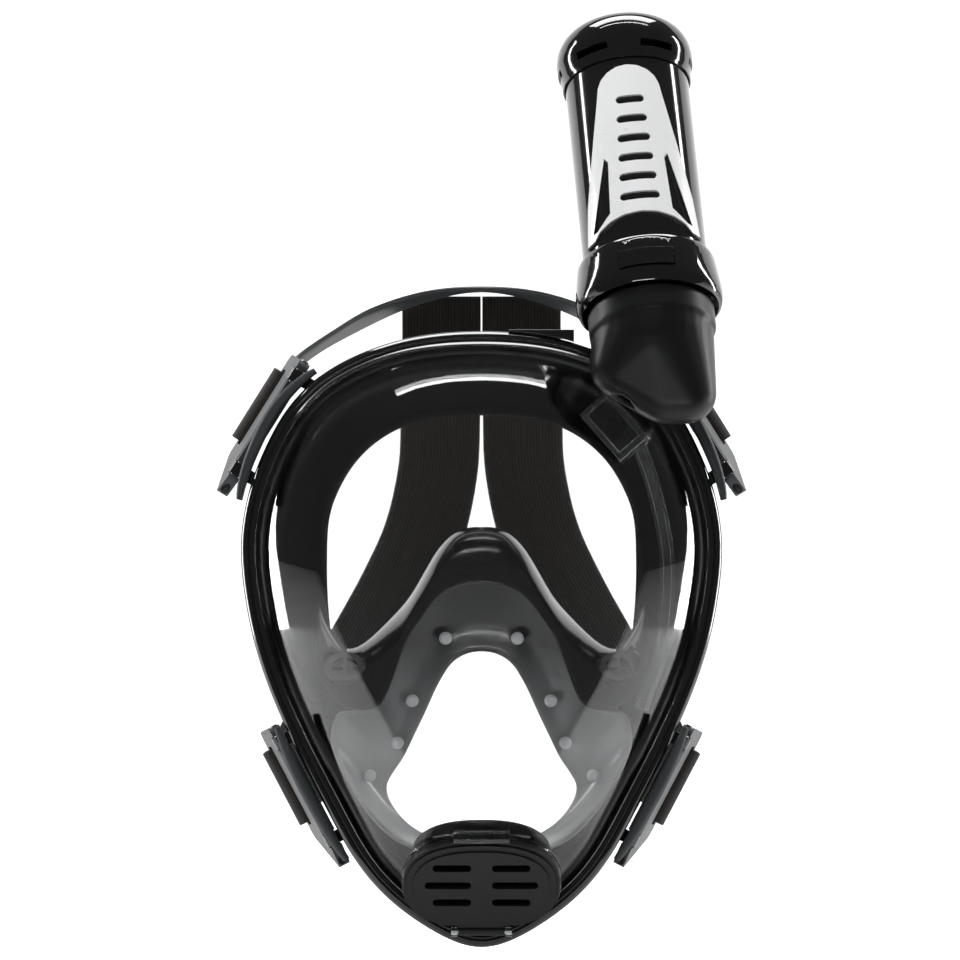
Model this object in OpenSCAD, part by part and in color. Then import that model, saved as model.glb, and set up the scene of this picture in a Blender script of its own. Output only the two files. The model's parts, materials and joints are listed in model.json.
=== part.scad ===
// Full face snorkel: a one-lens mask with a separate breathing chamber, a quick release
// dry-top snorkel on its right corner, and a four point strap. Millimetres.
// X runs across the face, Y runs from the lens towards the face, Z is up.
// The origin is the centre of the face seal, level with the eyes' lower edge.

/* [Lens frame] */
// Width of the lens frame
frame_w = 189; // [157:1:227]
// Height of the crown above the origin
crown_up = 105; // [90:1:126]
// Depth of the chin below the origin
chin_down = 136; // [120:1:163]
// Width of the rim, seen from the front
rim_w = 5.6; // [5:0.1:8]
// How far the middle of the rim stands ahead of the face seal
rim_fwd = 36; // [30:1:45]
// How far the rim sweeps back at the temples
side_sweep = 24; // [18:1:30]
// Thickness of the lens
lens_t = 2.2; // [1.6:0.1:3]
// How far the middle of the lens stands ahead of the rim
lens_bulge = 32; // [24:1:40]

/* [Face skirt] */
// Width of the opening for the eyes
window_w = 120; // [100:1:144]
// Height of the eye opening above the origin
window_up = 71.5; // [60:0.5:85]
// Depth of the skirt's opening below the origin
window_down = 101; // [85:1:110]
// Thickness of the silicone
skirt_t = 1.8; // [1.2:0.1:2.4]
// How far the seal sweeps back at the temples
seal_sweep = 18; // [12:1:24]

/* [Breathing chamber] */
// How far the nose hood reaches forward from the seal
hood_d = 26; // [20:1:31]
// Thickness of the hood and of the smoke panel
panel_t = 1.6; // [1.2:0.1:2.2]
// Diameter of the studs that fasten the panel
stud_d = 5; // [4:0.2:6]
// Diameter of the two inhale valves
inhale_d = 13; // [10:0.5:14]

/* [Chin drain] */
// Width of the drain cover
drain_w = 62; // [52:1:74]
// Height of the drain cover
drain_h = 42; // [35:1:44]
// Diameter of the drain's valve flap
drain_flap_d = 23; // [18:0.5:26]
// Downward tilt of the drain
drain_tilt = 32; // [26:1:38]

/* [Snorkel] */
// Outer diameter of the tube
tube_d = 48.8; // [42:0.2:58]
// Wall of the tube
tube_wall = 2.2; // [1.6:0.1:3]
// Length of the tube, from the lock ring's foot to the cap
tube_len = 101; // [84:1:122]
// Backward lean of the tube
tube_lean = 27; // [15:1:32]
// Sideways lean of the tube
tube_side = 5.4; // [0:0.2:8]
// Height of the lock ring
ring_h = 20; // [18:0.5:24]
// Thickness of the lock ring at its widest
ring_wall = 4.4; // [3.8:0.1:6]
// Width of the latch button
button_w = 21; // [16:0.5:25]
// Travel of the latch button
button_travel = 1.5; // [1:0.1:1.8]
// Height of the domed cap
cap_h = 26; // [22:0.5:31]
// Lift of the float before it shuts the intake
float_lift = 6; // [4:0.5:8]
// Diameter of the intake hole above the float
intake_d = 22; // [18:0.5:26]

/* [Straps] */
// Width of the elastic webbing
strap_w = 32; // [27:1:38]
// Thickness of the webbing
strap_t = 2; // [1.4:0.1:2.4]
// How far the straps reach behind the face seal
strap_back = 104; // [87:1:125]
// Reach of a buckle from its pin
clip_len = 34; // [29:1:41]
// Thickness of a buckle
clip_t = 4.6; // [4:0.2:6]
// Diameter of the buckle pins
pin_d = 3; // [2.4:0.1:3.6]

/* [Fits] */
// Gap between parts that are fixed to each other
fit = 0.2; // [0.1:0.05:0.35]
// Gap around parts that slide or turn
run = 0.35; // [0.3:0.05:0.5]
// Radial gap at pins, seals and spigots
pin_fit = 0.06; // [0.03:0.01:0.1]

/* [Hidden] */

GLOSS_BLACK = [0.04, 0.04, 0.045];
SOFT_BLACK = [0.07, 0.07, 0.075];
SMOKE = [0.33, 0.34, 0.35];
CLEAR = [0.85, 0.88, 0.9];
GREY = [0.3, 0.31, 0.32];
SILVER = [0.8, 0.81, 0.82];
WEBBING = [0.13, 0.11, 0.1];
STEEL = [0.62, 0.63, 0.64];

half_w = frame_w / 2;
steps = 3;              // curve steps between two outline points
$fn = 64;

// ---------- curves ----------

// Half outlines run from the crown down the right side to the chin, in shares of
// the half width and of the height above or the depth below the origin.
FRAME_SHAPE = [[0, 1], [0.33, 0.97], [0.61, 0.87], [0.79, 0.73], [0.905, 0.55], [0.975, 0.37],
  [1, 0.17], [0.965, -0.06], [0.9, -0.22], [0.8, -0.385], [0.66, -0.575], [0.49, -0.78],
  [0.27, -0.92], [0, -1]];
WINDOW_SHAPE = [[0, 1], [0.35, 0.98], [0.6, 0.9], [0.78, 0.78], [0.9, 0.635], [0.985, 0.45],
  [1, 0.2], [0.99, -0.04], [0.95, -0.24], [0.88, -0.435], [0.77, -0.61], [0.62, -0.81],
  [0.37, -0.96], [0, -1]];
// The hood's back edge on the face, its front lip, the smoke panel's outer edge and
// the mouth opening, each from the middle outwards.
HOOD_BACK = [[0, 28], [9, 26.5], [16, 20], [21.5, 11], [28, 0], [37, -10], [46, -18],
  [53, -19.5], [59, -12], [64, 0]];
HOOD_LIP = [[0, 6.5], [11, 4.5], [18, 0], [24, -8], [30, -17], [34, -30], [39, -41],
  [49, -43], [58, -38], [65, -24]];
PANEL_EDGE = [[0, 10], [11, 8], [18.5, 3.5], [25, -5], [31, -15], [35.5, -29], [41, -39],
  [50, -43], [56, -44], [58.5, -56], [51.5, -71], [42, -85], [28, -96], [0, -100]];
MOUTH_EDGE = [[0, -20.5], [6, -21.5], [11.5, -25], [15.5, -31], [18.5, -37], [22, -45],
  [26, -53.5], [30, -62], [34, -68], [36.5, -74], [33, -82.5], [26, -89.5], [16, -93.5],
  [0, -95]];
// Each stud's place on the panel: how far along its edge, and the share of the way in
STUD_SPOTS = [[6, 0.65], [15, 0.65], [20, 0.8], [27, 0.7]];

function unit(v) = v / norm(v);
function lerp(a, b, t) = a + (b - a) * t;
function span(a, b, c, d, t) = 0.5 * (2 * b + (c - a) * t + (2 * a - 5 * b + 4 * c - d) * t * t
  + (3 * b - a - 3 * c + d) * t * t * t);
// A smooth closed curve through the points
function loop_curve(p) = let (n = len(p)) [for (i = [0:n - 1]) for (k = [0:steps - 1])
  span(p[(i + n - 1) % n], p[i], p[(i + 1) % n], p[(i + 2) % n], k / steps)];
// A smooth open curve through the points
function open_curve(p, m) = let (n = len(p)) concat([for (i = [0:n - 2]) for (k = [0:m - 1])
  span(p[max(i - 1, 0)], p[i], p[i + 1], p[min(i + 2, n - 1)], k / m)], [p[n - 1]]);
function both_sides(h) = concat(h, [for (i = [len(h) - 2:-1:1]) [-h[i][0], h[i][1]]]);
function right_to_left(h) = concat([for (i = [len(h) - 1:-1:0]) h[i]],
  [for (i = [1:len(h) - 1]) [-h[i][0], h[i][1]]]);
function sized(shape, w, up, down) =
  [for (p = shape) [p[0] * w, p[1] * (p[1] > 0 ? up : down)]];
function outward(c, i) = let (n = len(c), t = unit(c[(i + 1) % n] - c[(i + n - 1) % n]))
  [-t[1], t[0]];

RIM = loop_curve(both_sides(sized(FRAME_SHAPE, half_w, crown_up, chin_down)));
WINDOW = loop_curve(both_sides(sized(WINDOW_SHAPE, window_w / 2, window_up, window_down)));
AROUND = len(RIM);
function inset(r) = [for (i = [0:AROUND - 1]) RIM[i] - r * outward(RIM, i)];

// Depth of the lens seat and of the face seal at a place on the face plane
function seat_y(p) = -rim_fwd + side_sweep * pow(p[0] / half_w, 2)
  + 9 * pow(max(0, p[1] / crown_up - 0.35) / 0.65, 2)
  + 7 * pow(max(0, -p[1] / chin_down - 0.5) / 0.5, 2);
function seal_y(p) = seal_sweep * pow(p[0] / 80, 2);
// Depth of the lens dome: s is 0 at its middle and 1 where it rises from its flange
function lens_y(p, s) = seat_y(p) - lens_bulge * (1 - pow(min(1, s), 3));

// ---------- solids from rings of points ----------

function band_faces(n, m, wrap_n, wrap_m) =
  [for (i = [0:n - (wrap_n ? 1 : 2)]) for (j = [0:m - (wrap_m ? 1 : 2)])
    let (a = i * m + j, b = i * m + (j + 1) % m, c = ((i + 1) % n) * m + (j + 1) % m,
      d = ((i + 1) % n) * m + j) each [[a, b, c], [a, c, d]]];
function turned(faces) = [for (f = faces) [f[2], f[1], f[0]]];

// A closed mesh, with its faces turned outwards
function six_volumes(p, f) = [for (t = f) p[t[0]] * cross(p[t[1]], p[t[2]])] * [for (t = f) 1];
module closed_mesh(points, faces)
  polyhedron(points, six_volumes(points, faces) > 0 ? turned(faces) : faces);

// Sections joined in turn into a closed ring
module ring_solid(sections)
  closed_mesh([for (s = sections) each s],
    band_faces(len(sections), len(sections[0]), true, true));

// Sections joined in turn, with both ends closed
module loft_solid(sections) {
  n = len(sections);
  m = len(sections[0]);
  closed_mesh([for (s = sections) each s], concat(band_faces(n, m, false, true),
    [for (j = [1:m - 2]) [0, j + 1, j]],
    [for (j = [1:m - 2]) [(n - 1) * m, (n - 1) * m + j, (n - 1) * m + j + 1]]));
}

// Surface directions of a grid of points
function grid_normal(g, i, j, wrap) = let (n = len(g), m = len(g[0]),
  a = wrap ? g[(i + 1) % n][j] - g[(i + n - 1) % n][j]
    : g[min(i + 1, n - 1)][j] - g[max(i - 1, 0)][j],
  b = g[i][min(j + 1, m - 1)] - g[i][max(j - 1, 0)]) unit(cross(a, b));
function sheet_section(g, i, t, wrap) = let (m = len(g[0])) concat(
  [for (j = [0:m - 1]) g[i][j] + grid_normal(g, i, j, wrap) * t / 2],
  [for (j = [m - 1:-1:0]) g[i][j] - grid_normal(g, i, j, wrap) * t / 2]);
module sheet_ring(g, t) ring_solid([for (i = [0:len(g) - 1]) sheet_section(g, i, t, true)]);
module sheet_strip(g, t) loft_solid([for (i = [0:len(g) - 1]) sheet_section(g, i, t, false)]);

// A flat band along a path: places, width directions, width and thickness
module flat_band(path, across, w, t) {
  n = len(path);
  loft_solid([for (i = [0:n - 1]) let (
    ahead = unit(path[min(i + 1, n - 1)] - path[max(i - 1, 0)]),
    side = unit(across[i] - ahead * (across[i] * ahead)),
    up = cross(ahead, side) * t / 2, s = side * w / 2)
    [path[i] - s - up, path[i] + s - up, path[i] + s + up, path[i] - s + up]]);
}

function rim_section(i, profile) = let (n = outward(RIM, i)) [for (q = profile)
  let (p = RIM[i] - q[0] * n) [p[0], seat_y(RIM[i]) + q[1], p[1]]];
module rim_ring(profile) ring_solid([for (i = [0:AROUND - 1]) rim_section(i, profile)]);

// ---------- mask ----------

wall_w = 2.2;                         // outer wall of the front frame
lens_edge = wall_w + fit;             // inset of the lens edge
dome_in = rim_w + 0.4 + 2 * fit;      // inset at which the dome rises from the flange
lens_mid = [0, -6];                   // foremost place of the dome
half_t = lens_t / 2;
flange_front = half_t + fit;
flange_back = flange_front + skirt_t;
clamp_front = flange_back + fit;
rim_back = clamp_front + 6;

DOME_EDGE = inset(dome_in);
function lens_ring(s, t) = [for (i = [0:AROUND - 1]) let (q = lerp(lens_mid, DOME_EDGE[i], s))
  [q[0], lens_y(lerp(lens_mid, RIM[i], s), s) + t, q[1]]];
function lens_flange(t) = let (edge = inset(lens_edge))
  [for (i = [0:AROUND - 1]) [edge[i][0], seat_y(RIM[i]) + t, edge[i][1]]];
module lens() color(CLEAR, 0.35) {
  c = lens_mid;
  shares = [0.2, 0.42, 0.62, 0.78, 0.89, 0.96, 1];
  rings = concat([for (s = shares) lens_ring(s, -half_t)], [lens_flange(-half_t)],
    [lens_flange(half_t)], [for (k = [len(shares) - 1:-1:0]) lens_ring(shares[k], half_t)]);
  n = len(rings);
  m = AROUND;
  difference() {
    closed_mesh(concat([for (r = rings) each r],
        [[c[0], lens_y(c, 0) - half_t, c[1]], [c[0], lens_y(c, 0) + half_t, c[1]]]),
      concat(turned(band_faces(n, m, false, true)),
        [for (j = [0:m - 1]) [j, n * m, (j + 1) % m]],
        [for (j = [0:m - 1]) [(n - 1) * m + j, (n - 1) * m + (j + 1) % m, n * m + 1]]));
    at_drain() translate([0, 0, -30]) linear_extrude(50) oval(drain_w - 8, drain_h - 8);
    translate([coupler_x, 0, coupler_z]) rotate([90, 0, 0]) cylinder(r = 4.5, h = 100);
  }
}

module front_frame() color(GLOSS_BLACK) rim_ring([[0, rim_back], [0, -2.6], [1.3, -4.4],
  [2.6, -4.8], [3.1, -4.1], [3.7, -4.6], [rim_w, -4], [rim_w + 0.4, -2.8],
  [rim_w - 0.2, -half_t - fit], [wall_w, -half_t - fit], [wall_w, rim_back]]);

module rear_frame() color(GLOSS_BLACK) {
  difference() {
    rim_ring([[lens_edge, rim_back], [lens_edge, clamp_front], [rim_w + 1.6, clamp_front],
      [rim_w + 1.6, rim_back - 2], [rim_w + 0.4, rim_back]]);
    for (i = SCREW_SPOTS) at_rim(i) screw_bore();
  }
}

SCREW_SPOTS = [for (k = [6, 20, 33, 45, 58, 72]) k];
screw_d = 2;
screw_in = (lens_edge + rim_w + 1.6) / 2;
module screw_bore() translate([0, rim_back + 1.5, -screw_in]) rotate([90, 0, 0])
  cylinder(d = screw_d + 2 * pin_fit, h = 6.9);
module frame_screws() color(STEEL) for (i = SCREW_SPOTS) at_rim(i)
  translate([0, rim_back, -screw_in]) rotate([90, 0, 0]) {
    cylinder(d = screw_d, h = 5);
    translate([0, 0, -1.7]) difference() {
      cylinder(d = 3.4, h = 1.2);
      translate([-1.2, -0.25, -0.5]) cube([2.4, 0.5, 1]);
      translate([-0.25, -1.2, -0.5]) cube([0.5, 2.4, 1]);
    }
    translate([0, 0, -0.6]) cylinder(d = screw_d, h = 0.7);
  }

module face_skirt() color(SOFT_BLACK) {
  flange = (flange_front + flange_back) / 2;
  wall_in = rim_w + 3;
  seal_in = rim_w + 6;
  sheet_ring([for (i = [0:AROUND - 1]) let (
    n = outward(RIM, i), p = RIM[i], w = WINDOW[i],
    a = p - lens_edge * n - 0.3 * n, b = p - (wall_in - 0.6) * n, c = p - wall_in * n,
    d = p - seal_in * n, e = p - (seal_in + 3) * n, y0 = seat_y(p) + flange, y1 = seal_y(d))
    [[a[0], y0, a[1]], [b[0], y0, b[1]], [c[0], y0 + 2.4, c[1]],
     [lerp(c[0], d[0], 0.5), lerp(y0, y1, 0.5), lerp(c[1], d[1], 0.5)], [d[0], y1 - 4, d[1]],
     [e[0], y1 - 0.5, e[1]], [lerp(e[0], w[0], 0.35), seal_y(lerp(e, w, 0.35)) - 0.5,
       lerp(e[1], w[1], 0.35)],
     [lerp(e[0], w[0], 0.75), seal_y(lerp(e, w, 0.75)) - 2, lerp(e[1], w[1], 0.75)],
     [w[0], seal_y(w) - 5, w[1]]]], skirt_t);
}

hood_behind = 8.5;                  // the hood starts this far ahead of the seal
function hood_y(p) = seal_y(p) - hood_behind;
module nose_hood() color(SOFT_BLACK) difference() {
  hood_sheet();
  for (side = [-1, 1]) at_inhale(side) translate([0, 0, -8]) cylinder(d = inhale_d + 3 + 2 * fit, h = 20);
}
module hood_sheet() {
  back = open_curve(right_to_left(HOOD_BACK), 3);
  lip = open_curve(right_to_left(HOOD_LIP), 3);
  sheet_strip([for (i = [0:len(back) - 1]) [for (v = [0:0.2:1])
    let (p = lerp(back[i], lip[i], 1 - cos(90 * v)),
      ridge = 0.5 * sin(540 * v) * max(0, 1 - abs(p[0]) / 14))
    [p[0], lerp(hood_y(back[i]), hood_y(lip[i]) - hood_d, sin(90 * v)) - ridge, p[1]]]], panel_t);
}

// The panel hangs from the hood's lip and lies ahead of the skirt's flange lower down
function panel_y(p, k, last) = lerp(hood_y(p) - hood_d + 5.5, seat_y(p) - half_t,
  min(1, max(0, k / last - 0.45) / 0.2));
PANEL = loop_curve(both_sides(PANEL_EDGE));
MOUTH = loop_curve(both_sides(MOUTH_EDGE));
function panel_point(i, v) = let (n = len(PANEL), q = lerp(PANEL[i], MOUTH[i], v))
  [q[0], lerp(panel_y(PANEL[i], min(i, n - i), n / 2), seal_y(MOUTH[i]) - 16, sin(90 * v)), q[1]];
module smoke_panel() color(SMOKE, 0.8)
  sheet_ring([for (i = [0:len(PANEL) - 1]) [for (v = [0:0.2:1]) panel_point(i, v)]], panel_t);

module panel_studs() color(CLEAR) for (side = [-1, 1], spot = STUD_SPOTS)
  let (p = panel_point(spot[0], spot[1]), ahead = panel_t + 2.3)
    translate([side * p[0], p[1] - ahead, p[2]]) rotate([90, 0, 0]) {
      cylinder(d = stud_d, h = 1.2);
      translate([0, 0, 1.2]) cylinder(d1 = stud_d, d2 = stud_d * 0.6, h = 0.8);
    }

// ---------- inhale valves, in the shelves beside the nose ----------

valve_x = 53;
valve_z = -27;
valve_y = -19.5;
module at_inhale(side) translate([side * valve_x, valve_y, valve_z]) rotate([42, 0, 0]) children();
module inhale_seats() color(SOFT_BLACK) for (side = [-1, 1]) at_inhale(side) difference() {
  cylinder(d = inhale_d + 3, h = 1.6);
  translate([0, 0, -1]) difference() {
    cylinder(d = inhale_d - 3, h = 4);
    translate([-inhale_d, -0.6, 0]) cube([2 * inhale_d, 1.2, 4]);
    translate([-0.6, -inhale_d, 0]) cube([1.2, 2 * inhale_d, 4]);
  }
}
module inhale_flap(side) color(SOFT_BLACK) at_inhale(side) translate([0, 0, -fit - 0.7])
  cylinder(d = inhale_d, h = 0.7);

// ---------- chin drain ----------

drain_rise = 28.5;                    // middle of the cover above the chin
drain_z = drain_rise - chin_down;
drain_share = (lens_mid[1] - drain_z) / (chin_down - dome_in + lens_mid[1]);
drain_y = lens_y([0, drain_z], drain_share) - half_t - 2;
module at_drain() translate([0, drain_y, drain_z]) rotate([90 + drain_tilt, 0, 0]) children();
// A full oval, squarer than an ellipse
module oval(w, h) polygon([for (a = [0:6:354]) [w / 2 * sign(cos(a)) * pow(abs(cos(a)), 0.82),
  h / 2 * sign(sin(a)) * pow(abs(sin(a)), 0.82)]]);
module oval_ring(w, h, wall, t) linear_extrude(t) difference() {
  oval(w, h);
  oval(w - 2 * wall, h - 2 * wall);
}
body_deep = 16;
module drain_body() color(SOFT_BLACK) at_drain() {
  translate([0, 0, -body_deep]) oval_ring(drain_w - 8 - 2 * fit, drain_h - 8 - 2 * fit, 1.6, body_deep);
  translate([0, 0, -body_deep]) difference() {
    linear_extrude(1.8) oval(drain_w - 11.4, drain_h - 11.4);
    difference() {
      translate([0, 0, -1]) cylinder(d = drain_flap_d - 4, h = 4);
      translate([-drain_flap_d, -0.7, -1]) cube([2 * drain_flap_d, 1.4, 4]);
      translate([-0.7, -drain_flap_d, -1]) cube([1.4, 2 * drain_flap_d, 4]);
    }
  }
}
flap_z = -body_deep + 1.8 + fit;
module drain_flap() color(SOFT_BLACK) at_drain() translate([0, 0, flap_z])
  cylinder(d = drain_flap_d, h = 0.9);
bezel_h = 2.4;
module drain_bezel() color(CLEAR, 0.5) at_drain() {
  translate([0, 0, fit]) difference() {
    oval_ring(drain_w, drain_h, 3.4, bezel_h);
    translate([-latch_w / 2 - 3 * fit, drain_h / 2 - 3.6, -1]) cube([latch_w + 6 * fit, 6, 6]);
  }
  for (x = [-ear_x - ear_w, ear_x]) translate([x, 0, 0]) difference() {
    hull() {
      translate([0, hinge_y, hinge_z]) rotate([0, 90, 0]) cylinder(r = 2.2, h = ear_w, $fn = 32);
      translate([0, hinge_y - 2, fit]) cube([ear_w, 5, 1]);
    }
    translate([-1, hinge_y, hinge_z]) rotate([0, 90, 0]) cylinder(d = 2 + 2 * pin_fit, h = 10);
  }
}
cover_z = bezel_h + 2 * fit;
hinge_y = -drain_h / 2 - 0.8;
hinge_z = cover_z + 1.9;              // the barrel turns just clear of the bezel
ear_x = 9.4;
ear_w = 2.4;
row_pitch = 8;
module drain_cover() color(SOFT_BLACK) at_drain() translate([0, 0, cover_z]) difference() {
  union() {
    linear_extrude(2.2) oval(drain_w - 1.4, drain_h - 1.4);
    translate([0, 0, 2.2]) linear_extrude(1) oval(drain_w - 4, drain_h - 4);
    translate([0, 0, 3.2]) linear_extrude(0.8) oval(drain_w - 9, drain_h - 9);
    translate([-9, hinge_y, hinge_z - cover_z]) rotate([0, 90, 0]) cylinder(d = 3.4, h = 18);
    translate([-9, hinge_y, 0]) cube([18, 4, 2.2]);
  }
  for (side = [-1, 1]) translate([side * (ear_x + ear_w / 2) - ear_w / 2 - run, hinge_y - 4, -1])
    cube([ear_w + 2 * run, 7.4, 7]);
  for (row = [-1:1], side = [-1, 1]) {
    w = row == 0 ? 18 : 15;
    translate([side * (4 + w / 2), row * row_pitch + 1, -1]) linear_extrude(7)
      hull() for (e = [-1, 1]) translate([e * (w / 2 - 1.6), 0]) circle(d = 3.2, $fn = 24);
  }
  translate([-10, hinge_y, hinge_z - cover_z]) rotate([0, 90, 0]) cylinder(d = 2 + 2 * pin_fit, h = 20);
}
module drain_hinge_pin() color(STEEL) at_drain() translate([-ear_x - ear_w, hinge_y, hinge_z])
  rotate([0, 90, 0]) cylinder(d = 2, h = 2 * (ear_x + ear_w));
latch_y = drain_h / 2 - 0.3;
latch_w = drain_w * 0.348;
latch_h = cover_z + 3.8;
module drain_latch() color(CLEAR, 0.6) at_drain() translate([-latch_w / 2, latch_y, fit])
  cube([latch_w, 2, latch_h]);

// ---------- exhale duct down the right side ----------

DUCT_PATH = [[61, 60], [66.5, 44], [71, 24], [72, 6], [69.5, -18], [64, -36], [61.5, -43]];
duct_w = 5.4;
duct_deep = 8;
duct_wall = 1.1;
duct_line = open_curve([for (d = DUCT_PATH) let (q = [d[0] * half_w / 94.5,
  d[1] * (d[1] > 0 ? crown_up / 105 : chin_down / 136)])
  [q[0], seat_y(q) - duct_deep / 2 + 4, q[1]]], 3);
module duct_prism(w, deep, grow) {
  n = len(duct_line);
  loft_solid([for (i = [0:n - 1]) let (
    t = unit(duct_line[min(i + 1, n - 1)] - duct_line[max(i - 1, 0)]),
    side = unit([-t[2], 0, t[0]]) * w / 2, f = [0, deep / 2, 0],
    p = duct_line[i] + t * (i == 0 ? -grow : i == n - 1 ? grow : 0))
    [p - side - f, p + side - f, p + side + f, p - side + f]]);
}
module exhale_duct() color(CLEAR, 0.4) difference() {
  duct_prism(duct_w, duct_deep, 0);
  duct_prism(duct_w - 2 * duct_wall, duct_deep - 2 * duct_wall, 1);
}

// ---------- places on the rim ----------

function rim_place(i) = [RIM[i][0], seat_y(RIM[i]), RIM[i][1]];
function rim_turn(i) = let (n = outward(RIM, i)) atan2(n[0], n[1]);
module at_rim(i) translate(rim_place(i)) rotate([0, rim_turn(i), 0]) children();

// ---------- snorkel ----------

tube_r = tube_d / 2;
bore_r = tube_r - tube_wall;
tube_x = half_w - tube_r - 4.2;         // the tube ends level with the frame's side
tube_z = crown_up + 7.1;
tube_y = seat_y([tube_x, crown_up * 0.8]) - 14.8;
module at_tube() translate([tube_x, tube_y, tube_z]) rotate([-tube_lean, -tube_side, 0]) children();

spigot_r = bore_r - run;
spigot_h = 16;
spigot_bore = spigot_r - 2.4;
seal_r = 0.9;
seal_c = bore_r - pin_fit - seal_r;    // middle of the seal's section
seal_z = 10;
elbow_drop = 43.5;                     // from the ring's foot to the elbow's foot
module elbow_block() difference() {
  hull() {
    at_tube() translate([0, 0, -9]) sphere(r = tube_r - 0.6, $fn = 32);
    for (c = [[-11.6, 22 - elbow_drop], [5.4, 12 - elbow_drop], [13.4, 12 - elbow_drop]], y = [-11, 2])
      translate([tube_x + c[0], tube_y + y, tube_z + c[1]]) sphere(r = 12, $fn = 32);
  }
  at_tube() translate([0, 0, -fit]) cylinder(r = 2 * tube_r, h = 60);
}
module snorkel_elbow() color(SOFT_BLACK) difference() {
  union() {
    elbow_block();
    at_tube() {
      translate([0, 0, -10]) cylinder(r = tube_r + 0.4, h = 10 - fit);
      translate([0, 0, -8]) cylinder(r = spigot_r, h = spigot_h + 8);
    }
  }
  at_tube() translate([0, 0, -14]) cylinder(r = spigot_bore, h = 60);
  at_tube() translate([0, 0, -14]) sphere(r = spigot_bore);
  at_tube() translate([0, 0, seal_z]) rotate_extrude() translate([seal_c, 0])
    circle(r = seal_r + pin_fit, $fn = 24);
  at_port() cylinder(r = port_r, h = port_seat);
  at_port() cylinder(r = port_r - 1.6, h = 40);
  saddle_cut();
}
port_r = 7;
port_seat = 13;
port_turn = 43;
module at_port() translate([tube_x, tube_y - 12.2, tube_z - 22.5]) rotate([0, 180 + port_turn, 0]) children();
// The room of the rim's corner and the lens behind the elbow
function edge_share(i, r) = norm(RIM[i] - r * outward(RIM, i) - lens_mid)
  / norm(DOME_EDGE[i] - lens_mid);
module saddle_cut() loft_solid([for (i = [3:21]) let (n = outward(RIM, i), y0 = seat_y(RIM[i]),
  front = y0 - 5.2) concat(
    [for (q = [[-2 * fit, 0], [9, -2], [20, -1], [34, -1]]) let (p = RIM[i] - q[0] * n)
      [p[0], q[1] == 0 ? front : min(front, lens_y(p, edge_share(i, q[0])) - half_t + q[1]), p[1]]],
    [for (r = [34, -2 * fit]) let (p = RIM[i] - r * n) [p[0], 60, p[1]]])]);
module spigot_seal() color(SOFT_BLACK) at_tube() translate([0, 0, seal_z]) rotate_extrude()
  translate([seal_c, 0]) circle(r = seal_r, $fn = 24);

module snorkel_tube() color(GLOSS_BLACK) at_tube() rotate_extrude() difference() {
  translate([bore_r, 1]) square([tube_wall, tube_len + 1]);
  translate([bore_r, 0.9]) polygon([[-0.1, 0], [0.8, 0], [-0.1, 1.2]]);
}
divider_foot = spigot_h + 6;
module tube_divider() color(SOFT_BLACK) at_tube()
  translate([-bore_r + fit, -0.8, divider_foot])
    cube([2 * (bore_r - fit), 1.6, cage_foot - fit - divider_foot]);

ring_r = tube_r + ring_wall;
button_z = 9.5;
button_h = 7;
module button_block(w, h, r0, r1) intersection() {
  difference() {
    cylinder(r = r1, h = h);
    translate([0, 0, -1]) cylinder(r = r0, h = h + 2);
  }
  translate([-w / 2, -r1 - 1, 0]) cube([w, r1 + 1, h]);
}
module lock_ring() color(GLOSS_BLACK) at_tube() difference() {
  rotate_extrude() polygon(concat(
    [[tube_r + pin_fit, ring_h], [tube_r + pin_fit, 0.6], [tube_r + 2.4, 0]],
    [for (q = [[0.55, 0], [0.8, 0.05], [0.97, 0.15], [1, 0.28], [0.95, 0.45], [0.84, 0.65],
      [0.72, 0.85], [0.66, 0.95], [0.54, 1]]) [tube_r + q[0] * ring_wall, q[1] * ring_h]]));
  translate([0, 0, button_z - button_h / 2 - run])
    button_block(button_w + 2 * run, button_h + 2 * run, tube_r - 1, ring_r + 3);
}
spring_in = tube_r + 0.25;
module latch_button() color(GLOSS_BLACK) at_tube()
  translate([0, 0, button_z - button_h / 2]) difference() {
    button_block(button_w, button_h, tube_r + button_travel + 0.6, ring_r + 0.9);
    translate([0, -ring_r + 0.4, button_h / 2]) rotate([-90, 0, 0]) cylinder(d = 3.6, h = 10);
  }
module button_spring() color(STEEL) {
  turns = 3;
  pitch = 0.62;
  r = 1.25;
  wire = 0.22;
  n = turns * 12;
  at_tube() translate([0, -spring_in - wire, button_z]) rotate([90, 0, 0])
    loft_solid([for (i = [0:n]) let (a = i * 30, z = pitch * i / 12)
      [for (j = [5:-1:0]) let (b = j * 60) [(r + wire * cos(b)) * cos(a),
        (r + wire * cos(b)) * sin(a), z + wire * sin(b)]]]);
}

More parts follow.
